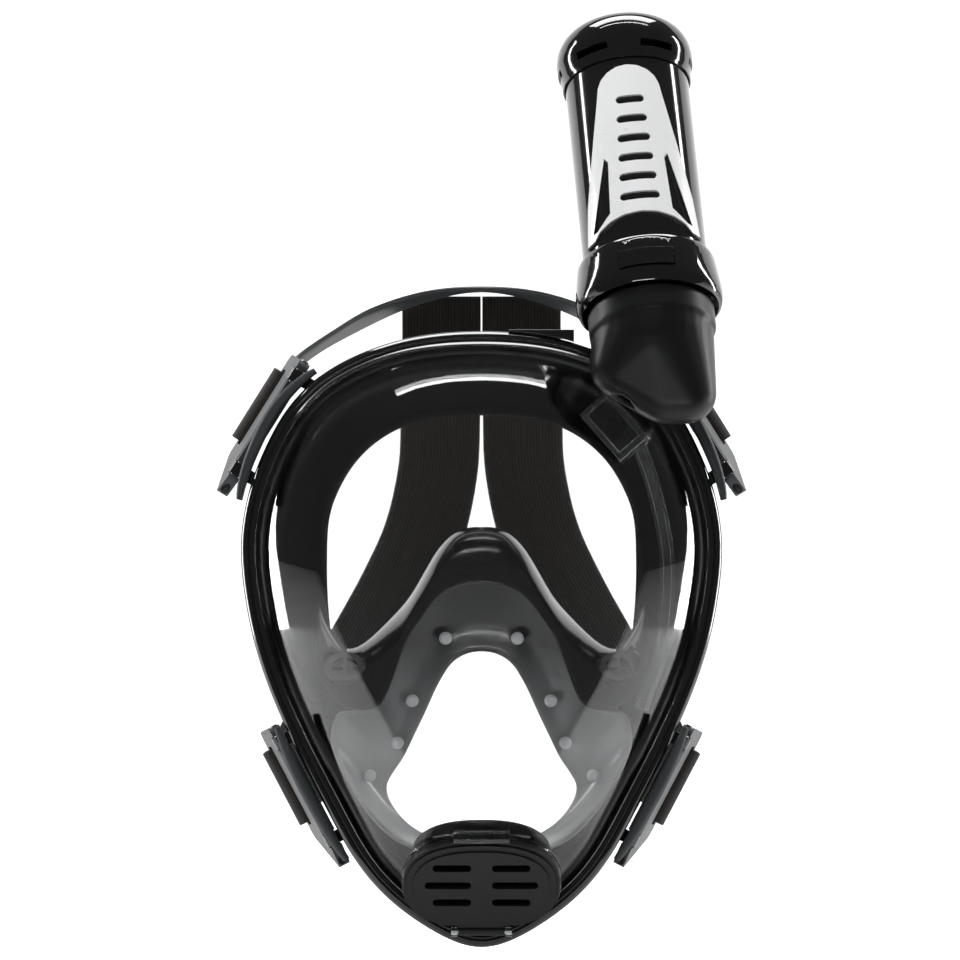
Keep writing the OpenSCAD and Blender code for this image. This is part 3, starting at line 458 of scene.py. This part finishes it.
def spline(points, count):
    """Places evenly spread along a smooth curve through the points."""
    fine = []
    last = len(points) - 1
    for i in range(last):
        a, b = points[max(i - 1, 0)], points[i]
        c, d = points[i + 1], points[min(i + 2, last)]
        for k in range(24):
            t = k / 24
            fine.append(0.5 * (2 * b + (c - a) * t + (2 * a - 5 * b + 4 * c - d) * t * t
                               + (3 * b - a - 3 * c + d) * t ** 3))
    fine.append(points[-1])
    return [fine[round(k * (len(fine) - 1) / (count - 1))] for k in range(count)]


def ribbon(route, across, width, thickness, ribs=0, rib_height=0.0, rows=90):
    """A band with rounded edges and lengthwise ribs, its map in millimetres."""
    path = spline(route, rows)
    sides = spline(across, rows)
    columns = max(8, ribs * 4)
    mesh = bmesh.new()
    uv = mesh.loops.layers.uv.new("Length map")
    rings = []
    for i, place in enumerate(path):
        ahead = (path[min(i + 1, rows - 1)] - path[max(i - 1, 0)]).normalized()
        side = (sides[i] - ahead * sides[i].dot(ahead)).normalized()
        up = ahead.cross(side)
        ring = []
        for face in (1, -1):
            for j in range(columns + 1):
                share = j / columns if face > 0 else 1 - j / columns
                rim = min(1.0, 12 * min(share, 1 - share) + 0.35)
                rise = thickness / 2 * rim
                if ribs:
                    rise += rib_height * (abs(math.sin(math.pi * ribs * share)) - 1) * rim
                ring.append(mesh.verts.new(place + side * width * (share - 0.5) + up * face * rise))
        rings.append(ring)
    around = len(rings[0])
    length = 0.0
    for i in range(rows - 1):
        step = (path[i + 1] - path[i]).length
        for j in range(around):
            k = (j + 1) % around
            face = mesh.faces.new((rings[i][j], rings[i][k], rings[i + 1][k], rings[i + 1][j]))
            face.smooth = True
            spread = [width * (x % (columns + 1)) / columns for x in (j, k)]
            corners = ((length, spread[0]), (length, spread[1]),
                       (length + step, spread[1]), (length + step, spread[0]))
            for loop, (along, over) in zip(face.loops, corners):
                loop[uv].uv = (along / MM, over / MM)
        length += step
    mesh.faces.new(list(reversed(rings[0])))
    mesh.faces.new(rings[-1])
    bmesh.ops.recalc_face_normals(mesh, faces=mesh.faces)
    return mesh


def mirrored(points):
    return [Vector((-p.x, p.y, p.z)) for p in points]


def vectors(rows, scale=1.0):
    return [Vector(row) * scale for row in rows]


# Half outline of the lens frame from the crown to the chin, in shares of its half width
# and of its height above or depth below the origin, and the frame's main sizes in mm
FRAME_SHAPE = ((0, 1), (0.33, 0.97), (0.61, 0.87), (0.79, 0.73), (0.905, 0.55), (0.975, 0.37),
               (1, 0.17), (0.965, -0.06), (0.9, -0.22), (0.8, -0.385), (0.66, -0.575),
               (0.49, -0.78), (0.27, -0.92), (0, -1))
HALF_W, CROWN, CHIN = 94.5, 105.0, 136.0
RIM_FWD, SIDE_SWEEP, LENS_BULGE = 36.0, 24.0, 32.0
LENS_HALF, LENS_EDGE, DOME_IN = 1.1, 2.4, 6.4
LENS_MID = Vector((0, -6))
DRAIN_PLACE, DRAIN_TURN, DRAIN_HOLE = (0, -51.02, -107.5), 122.0, (54.0, 34.0)
COUPLER_PLACE, COUPLER_HOLE = (51.6, -50, 67.2), 4.5


def rim_line(per):
    """The frame's closed outline, clockwise from the crown, with its outward directions."""
    half = [Vector((x * HALF_W, z * (CROWN if z > 0 else CHIN))) for x, z in FRAME_SHAPE]
    points = half + [Vector((-p.x, p.y)) for p in reversed(half[1:-1])]
    n = len(points)
    line = []
    for i in range(n):
        a, b, c, d = (points[(i + k) % n] for k in (-1, 0, 1, 2))
        for k in range(per):
            t = k / per
            line.append(0.5 * (2 * b + (c - a) * t + (2 * a - 5 * b + 4 * c - d) * t * t
                               + (3 * b - a - 3 * c + d) * t ** 3))
    n = len(line)
    outward = []
    for i in range(n):
        along = (line[(i + 1) % n] - line[i - 1]).normalized()
        outward.append(Vector((-along.y, along.x)))
    return line, outward


def seat_y(p):
    """Depth of the lens seat at a place on the face plane."""
    return (-RIM_FWD + SIDE_SWEEP * (p.x / HALF_W) ** 2
            + 9 * (max(0, p.y / CROWN - 0.35) / 0.65) ** 2
            + 7 * (max(0, -p.y / CHIN - 0.5) / 0.5) ** 2)


def lens_mesh(rings=26, per=8):
    """The lens: a dome that rises from a flat flange, both faces smooth."""
    rim, outward = rim_line(per)
    n = len(rim)
    rows = []
    for k in range(1, rings + 1):
        s = (k / rings) ** 0.9
        row = []
        for p, o in zip(rim, outward):
            q = LENS_MID.lerp(p - o * DOME_IN, s)
            y = seat_y(LENS_MID.lerp(p, s)) - LENS_BULGE * (1 - s ** 3)
            row.append(Vector((q.x, y, q.y)))
        rows.append(row)
    edge = [p - o * LENS_EDGE for p, o in zip(rim, outward)]
    rows.append([Vector((e.x, seat_y(p), e.y)) for e, p in zip(edge, rim)])
    mesh = bmesh.new()
    sides = []
    for shift in (-LENS_HALF, LENS_HALF):
        middle = mesh.verts.new(Vector((0, seat_y(LENS_MID) - LENS_BULGE + shift, LENS_MID.y)) * MM)
        grid = [[mesh.verts.new((v + Vector((0, shift, 0))) * MM) for v in row] for row in rows]
        sides.append(grid)
        for j in range(n):
            k = (j + 1) % n
            mesh.faces.new((middle, grid[0][j], grid[0][k]))
            for a, b in zip(grid, grid[1:]):
                mesh.faces.new((a[j], b[j], b[k], a[k]))
    for j in range(n):
        k = (j + 1) % n
        mesh.faces.new((sides[0][-1][j], sides[1][-1][j], sides[1][-1][k], sides[0][-1][k]))
    bmesh.ops.recalc_face_normals(mesh, faces=mesh.faces)
    return mesh


def prism(outline, place, turn, low, high):
    """A cutter: an outline in mm drawn along its own axis."""
    mesh = bmesh.new()
    n = len(outline)
    ends = [[mesh.verts.new((x, y, z)) for x, y in outline] for z in (low, high)]
    mesh.faces.new(list(reversed(ends[0])))
    mesh.faces.new(ends[1])
    for j in range(n):
        k = (j + 1) % n
        mesh.faces.new((ends[0][j], ends[0][k], ends[1][k], ends[1][j]))
    spin = Matrix.Translation(place) @ Matrix.Rotation(math.radians(turn), 4, "X")
    bmesh.ops.transform(mesh, matrix=Matrix.Scale(MM, 4) @ spin, verts=mesh.verts)
    bmesh.ops.recalc_face_normals(mesh, faces=mesh.faces)
    return mesh


def cut(piece, *meshes):
    """Cuts the meshes out of the piece."""
    for mesh in meshes:
        data = bpy.data.meshes.new("Cutter")
        mesh.to_mesh(data)
        mesh.free()
        tool = bpy.data.objects.new("Cutter", data)
        bpy.context.scene.collection.objects.link(tool)
        hole = piece.modifiers.new("Hole", "BOOLEAN")
        hole.operation = "DIFFERENCE"
        hole.object = tool
        applied(piece)
        bpy.data.objects.remove(tool)
    return piece


def oval(w, h):
    """A full oval, squarer than an ellipse."""
    def side(value, half):
        return math.copysign(half * abs(value) ** 0.82, value)
    turns = [math.radians(a) for a in range(0, 360, 5)]
    return [(side(math.cos(a), w / 2), side(math.sin(a), h / 2)) for a in turns]


# Routes of the soft straps on the right side, from the crown down or from the buckle up, in mm
BAND_ROUTE = ((16.3, 117, 121.5), (16.3, 119, 96), (16.5, 119, 72), (17.5, 117, 50), (23, 112, 25),
              (33, 102, 2), (46, 88, -22), (59, 71, -44), (68, 55, -60), (73, 42, -70))
BAND_ACROSS = ((1, 0, -0.14), (1, 0, 0), (1, 0, 0), (1, 0, 0.05), (0.95, 0, 0.3), (0.88, 0, 0.46),
               (0.78, 0, 0.62), (0.66, 0, 0.75), (0.56, 0, 0.83), (0.5, 0, 0.87))
YOKE_ROUTE = ((87, 47.5, 77.5), (85.5, 56, 81), (78.5, 68, 90), (64, 79, 101.5),
              (47, 89, 111.5), (24, 97, 120.5), (0, 100, 124))
YOKE_ACROSS = ((-0.53, 0, 0.85), (-0.58, -0.1, 0.8), (-0.6, -0.35, 0.65), (-0.45, -0.75, 0.42),
               (-0.2, -0.93, 0.28), (-0.08, -0.98, 0.12), (0, -1, 0))


# Webbing that joins each loop to the yoke or the band, on the right side, in mm
TAIL_ROUTES = {"upper": ((87.7, 35.5, 75.9), (88.1, 40, 76.6), (87.6, 45, 77.1), (86.9, 49.5, 78.1)),
               "lower": ((77.6, 28.8, -75.2), (76.6, 33, -74.1), (74.4, 37.5, -72), (71.4, 43, -69.2))}
TAIL_ACROSS = {"upper": (-0.53, 0, 0.85), "lower": (0.48, 0, 0.88)}
TAIL_NARROWER, TAIL_THICKER = 3 * MM, 1.3 * MM
YOKE_WIDTH, YOKE_THICKNESS = 30 * MM, 2 * MM
# Which of 156 places round the frame each buckle is at
BUCKLE_SPOTS = {"upper": 20, "lower": 58}


# The buckle's curved face and the foot that joins it to the buckle, in mm: where each starts and
# ends along the frame, its front and rear, its gap to the frame, and its middle and end thickness
FACE_BARS = ((-23, 35, -3.9, -0.2, 1.4, 4.9, 2.4), (-13, 21, -0.8, 3.4, 1.6, 3.2, 2.8))
FACE_STEPS = 28
FACE_SEARCH = 30                        # places each way that a face can reach over


def distances(rim, spot, way):
    """Distances along the frame from one place, going one way."""
    reach = [0.0]
    for k in range(FACE_SEARCH):
        here, ahead = rim[spot + way * k], rim[spot + way * (k + 1)]
        reach.append(reach[-1] + (ahead - here).length)
    return reach


def fairing(spot):
    """The buckle's curved face: a bar that follows the frame's outline, with a foot on the buckle."""
    rim, outward = rim_line(6)
    reach = {way: distances(rim, spot, way) for way in (1, -1)}
    depth = seat_y(rim[spot])
    mesh = bmesh.new()

    def bar(first, last, front, rear, gap, thick, slim):
        rings = []
        for n in range(FACE_STEPS + 1):
            u = first + (last - first) * n / FACE_STEPS
            way = 1 if u >= 0 else -1
            table = reach[way]
            k = max(i for i, v in enumerate(table) if v <= abs(u))
            share = (abs(u) - table[k]) / (table[k + 1] - table[k])
            a, b = spot + way * k, spot + way * (k + 1)
            p = rim[a].lerp(rim[b], share)
            o = outward[a].lerp(outward[b], share).normalized()
            w = slim + (thick - slim) * math.sin(math.pi * n / FACE_STEPS) ** 0.7
            ease = 0.3 * w
            profile = ((0, front + ease), (ease, front), (w - ease, front), (w, front + ease),
                       (w, rear), (0, rear))
            ring = []
            for d, y in profile:
                place = p + o * (gap + d)
                ring.append(mesh.verts.new(Vector((place.x, depth + y, place.y)) * MM))
            rings.append(ring)
        for a, b in zip(rings, rings[1:]):
            for j in range(len(a)):
                k = (j + 1) % len(a)
                mesh.faces.new((a[j], a[k], b[k], b[j]))
        mesh.faces.new(list(reversed(rings[0])))
        mesh.faces.new(rings[-1])

    for sizes_of_bar in FACE_BARS:
        bar(*sizes_of_bar)
    bmesh.ops.recalc_face_normals(mesh, faces=mesh.faces)
    return mesh


# ---------- operators ----------

class SNORKEL_OT_lens(bpy.types.Operator):
    """Finishes the lens and the clear breathing parts"""
    bl_idname = "snorkel.lens"
    bl_label = "Lens and clear parts"

    def execute(self, context):
        mesh = lens_mesh()
        set_sharp(mesh, 30)
        piece = add_piece("lens_shell", mesh, clear_plastic(), BODY_OF["lens"], SLOT_OF["lens"], "lens")
        ring = [(COUPLER_HOLE * math.cos(a), COUPLER_HOLE * math.sin(a))
                for a in (math.radians(x) for x in range(0, 360, 10))]
        cut(piece, prism(oval(*DRAIN_HOLE), DRAIN_PLACE, DRAIN_TURN, -30, 20),
            prism(ring, COUPLER_PLACE, 90, -60, 60))
        for node in ("duct_coupler", "drain_bezel", "drain_latch", "exhale_duct"):
            eased(node, clear_plastic("Clear moulding", (0.9, 0.92, 0.93), 0.06), sizes().fine_edge)
        studs = moulded("Frosted stud", (0.42, 0.43, 0.44), 0.1, 0.2, 900, 0.01, Coat_Weight=0.6)
        eased("panel_studs", studs, sizes().fine_edge)
        return {"FINISHED"}


class SNORKEL_OT_frames(bpy.types.Operator):
    """Finishes the lens frames, their shoulder, lugs and screws"""
    bl_idname = "snorkel.frames"
    bl_label = "Frames"

    def execute(self, context):
        moulding("front_frame", gloss_black(), 30, 0.6, 2)
        moulding("rear_frame", gloss_black(), 30, 0.6)
        for node in ("tube_socket", "upper_lugs", "lower_lugs"):
            eased(node, gloss_black(), sizes().edge)
        dress("frame_screws", steel())
        return {"FINISHED"}


class SNORKEL_OT_skirt(bpy.types.Operator):
    """Finishes the silicone skirt, the nose hood and the smoke panel"""
    bl_idname = "snorkel.skirt"
    bl_label = "Skirt and breathing chamber"

    def execute(self, context):
        moulding("face_skirt", soft_black(), 50, 0.2)
        moulding("nose_hood", hood_black(), 60, 0.2)
        moulding("smoke_panel", smoke_silicone(), 60, 0.2)
        for node in ("inhale_seats", "inhale_flap_left", "inhale_flap_right", "exhale_flap"):
            dress(node, soft_black())
        return {"FINISHED"}


class SNORKEL_OT_drain(bpy.types.Operator):
    """Finishes the chin drain"""
    bl_idname = "snorkel.drain"
    bl_label = "Chin drain"

    def execute(self, context):
        eased("drain_cover", satin_black(), sizes().edge)
        dress("drain_body", satin_black())
        dress("drain_flap", soft_black())
        dress("drain_hinge_pin", steel())
        return {"FINISHED"}


class SNORKEL_OT_elbow(bpy.types.Operator):
    """Builds the elbow's smooth skin"""
    bl_idname = "snorkel.elbow"
    bl_label = "Elbow"

    def execute(self, context):
        node = "snorkel_elbow"
        piece = add_piece("elbow_skin", cad_bmesh(node), satin_black(), BODY_OF[node],
                          SLOT_OF[node], node)
        skin = piece.modifiers.new("Skin", "REMESH")
        skin.mode = "VOXEL"
        skin.voxel_size = sizes().skin_grid
        skin.use_smooth_shade = True
        smooth = piece.modifiers.new("Smooth", "SMOOTH")
        smooth.factor = 0.5
        smooth.iterations = 8
        applied(piece)
        dress("spigot_seal", soft_black())
        return {"FINISHED"}


class SNORKEL_OT_tube(bpy.types.Operator):
    """Finishes the snorkel tube, its ring, cap, badge and dry-top float"""
    bl_idname = "snorkel.tube"
    bl_label = "Snorkel"

    def execute(self, context):
        for node in ("lock_ring", "latch_button", "top_cap"):
            eased(node, gloss_black(), sizes().edge)
        dress("snorkel_tube", gloss_black())
        eased("tube_badge", satin_silver(), sizes().fine_edge, 50)
        for node in ("tube_divider", "float_cage"):
            dress(node, satin_black())
        self.spring()
        dress("cap_screws", steel())
        dress("float", float_foam())
        dress("float_seal", soft_black())
        return {"FINISHED"}


    def spring(self):
        """The button's spring, as a copy of the CAD coil with a mesh of its own."""
        node = "button_spring"
        piece = add_piece("button_coil", cad_bmesh(node), steel(), BODY_OF[node], SLOT_OF[node], node)
        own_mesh(piece)


class SNORKEL_OT_buckles(bpy.types.Operator):
    """Finishes the four buckles, their pins and webbing loops"""
    bl_idname = "snorkel.buckles"
    bl_label = "Buckles"

    def execute(self, context):
        dress("buckle_pins", steel())
        for place in ("upper", "lower"):
            for side in ("left", "right"):
                clip = f"{place}_clip_{side}"
                eased(clip, strap_grey(), 2 * sizes().edge, segments=3)
                mesh = fairing(BUCKLE_SPOTS[place])
                if side == "left":
                    bmesh.ops.scale(mesh, vec=(-1, 1, 1), verts=mesh.verts)
                    bmesh.ops.recalc_face_normals(mesh, faces=mesh.faces)
                set_sharp(mesh, 50)
                add_piece(f"{clip}_face", mesh, strap_grey(), BODY_OF[clip], SLOT_OF[clip])
                self.loop(f"{place}_loop_{side}", JOINTS[f"{place}_{side}_buckle_turn"])
        return {"FINISHED"}

    def loop(self, node, joint):
        """The webbing folded round the buckle's bar."""
        piece = eased(node, webbing("Cross ribbed webbing", 0.55, 2.4), sizes().edge)
        over = Vector(joint["axis"])
        low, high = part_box(node)
        out = (low + high) / 2 - Vector(joint["pos_m"])
        along = (out - over * out.dot(over)).normalized()
        mesh = piece.data
        uv = mesh.uv_layers.new(name="Length map")
        for corner in mesh.loops:
            place = mesh.vertices[corner.vertex_index].co
            uv.data[corner.index].uv = (place.dot(along) / MM, place.dot(over) / MM)


class SNORKEL_OT_straps(bpy.types.Operator):
    """Builds the crown yoke and the two elastic bands"""
    bl_idname = "snorkel.straps"
    bl_label = "Straps"

    def execute(self, context):
        size = sizes()
        half = vectors(YOKE_ROUTE, MM)
        turns = vectors(YOKE_ACROSS)
        route = half + list(reversed(mirrored(half[:-1])))
        across = turns + list(reversed(mirrored(turns[:-1])))
        mesh = ribbon(route, across, YOKE_WIDTH, YOKE_THICKNESS, rows=160)
        add_piece("crown_yoke_strap", mesh, strap_grey(), BODY_OF["crown_yoke"],
                  SLOT_OF["crown_yoke"], "crown_yoke")
        for side, turn in (("right", list), ("left", mirrored)):
            mesh = ribbon(turn(vectors(BAND_ROUTE, MM)), turn(vectors(BAND_ACROSS)),
                          size.band_width, size.band_thickness, size.ribs, size.rib_height)
            add_piece(f"elastic_band_{side}", mesh, webbing("Ribbed webbing", 1.6, 0.25),
                      BODY_OF[f"strap_{side}"], SLOT_OF[f"strap_{side}"], f"strap_{side}")
            for place, path in TAIL_ROUTES.items():
                points = turn(vectors(path, MM))
                mesh = ribbon(points, turn(vectors([TAIL_ACROSS[place]] * len(path))),
                              size.band_width - TAIL_NARROWER, size.band_thickness + TAIL_THICKER,
                              size.ribs, size.rib_height, rows=24)
                tail = add_piece(f"{place}_tail_{side}", mesh, webbing("Ribbed webbing", 1.6, 0.25),
                                 None, SLOT_OF[f"strap_{side}"])
                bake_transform(tail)
        return {"FINISHED"}


class SNORKEL_OT_studio(bpy.types.Operator):
    """Sets up the camera, the floor and the soft lights"""
    bl_idname = "snorkel.studio"
    bl_label = "Studio"

    def execute(self, context):
        scene = context.scene
        studio = scene.snorkel_studio
        middle = Vector(studio.middle)
        self.camera(scene, studio, middle)
        self.floor()
        world = bpy.data.worlds.new("Even light")
        world.use_nodes = True
        background = world.node_tree.nodes["Background"]
        background.inputs["Color"].default_value = (1, 1, 1, 1)
        background.inputs["Strength"].default_value = 1.0
        glow = self.seen_directly(world.node_tree, studio.backdrop)
        world.node_tree.links.new(glow, background.inputs["Color"])
        scene.world = world
        scene.view_settings.view_transform = "Standard"
        strips = (("Left strip", (-0.8, 0.27, 0.1), (0.07, 1.1), 4.5),
                  ("Right strip", (0.8, 0.27, 0.1), (0.07, 1.1), 4.5),
                  ("Top box", (0.0, 0.25, 0.95), (0.9, 0.3), 8),
                  ("Front box", (0.0, -0.12, 1.6), (1.6, 0.04), 5),
                  ("Low box", (0.0, -1.5, -0.9), (0.8, 0.1), 4))
        for name, place, size, power in strips:
            self.lamp(name, Vector(place), middle, size, power)
        fill = self.lamp("Fill", Vector((-0.3, -2.2, 1.5)), middle, (1.4, 1.4), 42)
        fill.visible_glossy = False
        fill.visible_transmission = False
        return {"FINISHED"}

    def seen_directly(self, tree, otherwise):
        """White where it is looked at, or through the lens, and a dim grey in reflections."""
        path = put(tree, "ShaderNodeLightPath")
        either = put(tree, "ShaderNodeMath", operation="MAXIMUM")
        tree.links.new(path.outputs["Is Camera Ray"], either.inputs[0])
        tree.links.new(path.outputs["Is Transmission Ray"], either.inputs[1])
        straight = put(tree, "ShaderNodeMath", operation="LESS_THAN")
        straight.inputs[1].default_value = 0.5
        tree.links.new(path.outputs["Glossy Depth"], straight.inputs[0])
        both = put(tree, "ShaderNodeMath", operation="MULTIPLY")
        tree.links.new(either.outputs[0], both.inputs[0])
        tree.links.new(straight.outputs[0], both.inputs[1])
        mix = put(tree, "ShaderNodeMix", data_type="RGBA")
        mix.inputs["A"].default_value = (otherwise, otherwise, otherwise, 1)
        mix.inputs["B"].default_value = (1, 1, 1, 1)
        tree.links.new(both.outputs[0], mix.inputs["Factor"])
        return mix.outputs["Result"]

    def camera(self, scene, studio, middle):
        """A level camera straight ahead of the mask."""
        data = bpy.data.cameras.new("Camera")
        data.sensor_width = 36
        data.lens = data.sensor_width * studio.distance / studio.view_width
        camera = bpy.data.objects.new("Camera", data)
        camera.location = middle - Vector((0, studio.distance, 0))
        camera.rotation_euler = (math.pi / 2, 0, 0)
        scene.collection.objects.link(camera)
        scene.camera = camera

    def floor(self):
        """A floor that curves up into a far wall."""
        ground = CAD_BOX[0][2] - 4 * MM
        bend = 1.0
        wall = 4.4
        curve = [(wall - bend + bend * math.sin(turn), bend - bend * math.cos(turn))
                 for turn in (math.pi / 2 * k / 12 for k in range(13))]
        self.paper("Floor", [(-0.16, 0.0), curve[0]], ground, 0.1)
        self.paper("Wall", curve + [(wall, 5.0)], ground, 1.0)

    def paper(self, name, rows, ground, glow):
        """A sheet of studio paper through the given rows."""
        mesh = bmesh.new()
        pairs = [[mesh.verts.new((x, y, ground + z)) for x in (-6, 6)] for y, z in rows]
        for a, b in zip(pairs, pairs[1:]):
            mesh.faces.new((a[0], a[1], b[1], b[0])).smooth = True
        data = bpy.data.meshes.new(name)
        mesh.to_mesh(data)
        mesh.free()
        material = moulded(f"Studio paper {name}", (0.9, 0.9, 0.9), 0.8, 0.95, 300, 0.02, 0.01)
        tree = material.node_tree
        shader = tree.nodes["Principled BSDF"]
        tree.links.new(self.seen_directly(tree, glow), shader.inputs["Emission Color"])
        shader.inputs["Emission Strength"].default_value = bpy.context.scene.snorkel_studio.paper
        data.materials.append(material)
        sheet = bpy.data.objects.new(name, data)
        bpy.context.scene.collection.objects.link(sheet)

    def lamp(self, name, place, target, size, power):
        """A rectangular soft light that faces the target."""
        data = bpy.data.lights.new(name, "AREA")
        data.shape = "RECTANGLE"
        data.size, data.size_y = size
        data.energy = power
        lamp = bpy.data.objects.new(name, data)
        lamp.location = place
        lamp.rotation_euler = (target - place).to_track_quat("-Z", "Y").to_euler()
        bpy.context.scene.collection.objects.link(lamp)
        return lamp


OPERATORS = (SNORKEL_OT_studio, SNORKEL_OT_lens, SNORKEL_OT_frames, SNORKEL_OT_skirt,
             SNORKEL_OT_drain, SNORKEL_OT_elbow, SNORKEL_OT_tube, SNORKEL_OT_buckles,
             SNORKEL_OT_straps)


class SNORKEL_PT_panel(bpy.types.Panel):
    """Lists the steps of the finish"""
    bl_idname = "SNORKEL_PT_panel"
    bl_label = "Full face snorkel"
    bl_space_type = "VIEW_3D"
    bl_region_type = "UI"
    bl_category = "Snorkel"

    def draw(self, context):
        for operator in OPERATORS:
            self.layout.operator(operator.bl_idname)
        for group in (context.scene.snorkel_sizes, context.scene.snorkel_colours,
                      context.scene.snorkel_studio):
            box = self.layout.box()
            for name in group.__annotations__:
                box.prop(group, name)


GROUPS = (("snorkel_sizes", SNORKEL_PG_sizes), ("snorkel_colours", SNORKEL_PG_colours),
          ("snorkel_studio", SNORKEL_PG_studio))


def register():
    for name, group in GROUPS:
        bpy.utils.register_class(group)
        setattr(bpy.types.Scene, name, bpy.props.PointerProperty(type=group))
    for cls in (*OPERATORS, SNORKEL_PT_panel):
        bpy.utils.register_class(cls)


def unregister():
    for cls in (SNORKEL_PT_panel, *reversed(OPERATORS)):
        bpy.utils.unregister_class(cls)
    for name, group in reversed(GROUPS):
        delattr(bpy.types.Scene, name)
        bpy.utils.unregister_class(group)


def main():
    register()
    for operator in OPERATORS:
        family, step = operator.bl_idname.split(".")
        getattr(getattr(bpy.ops, family), step)()


if __name__ == "__main__":
    main()
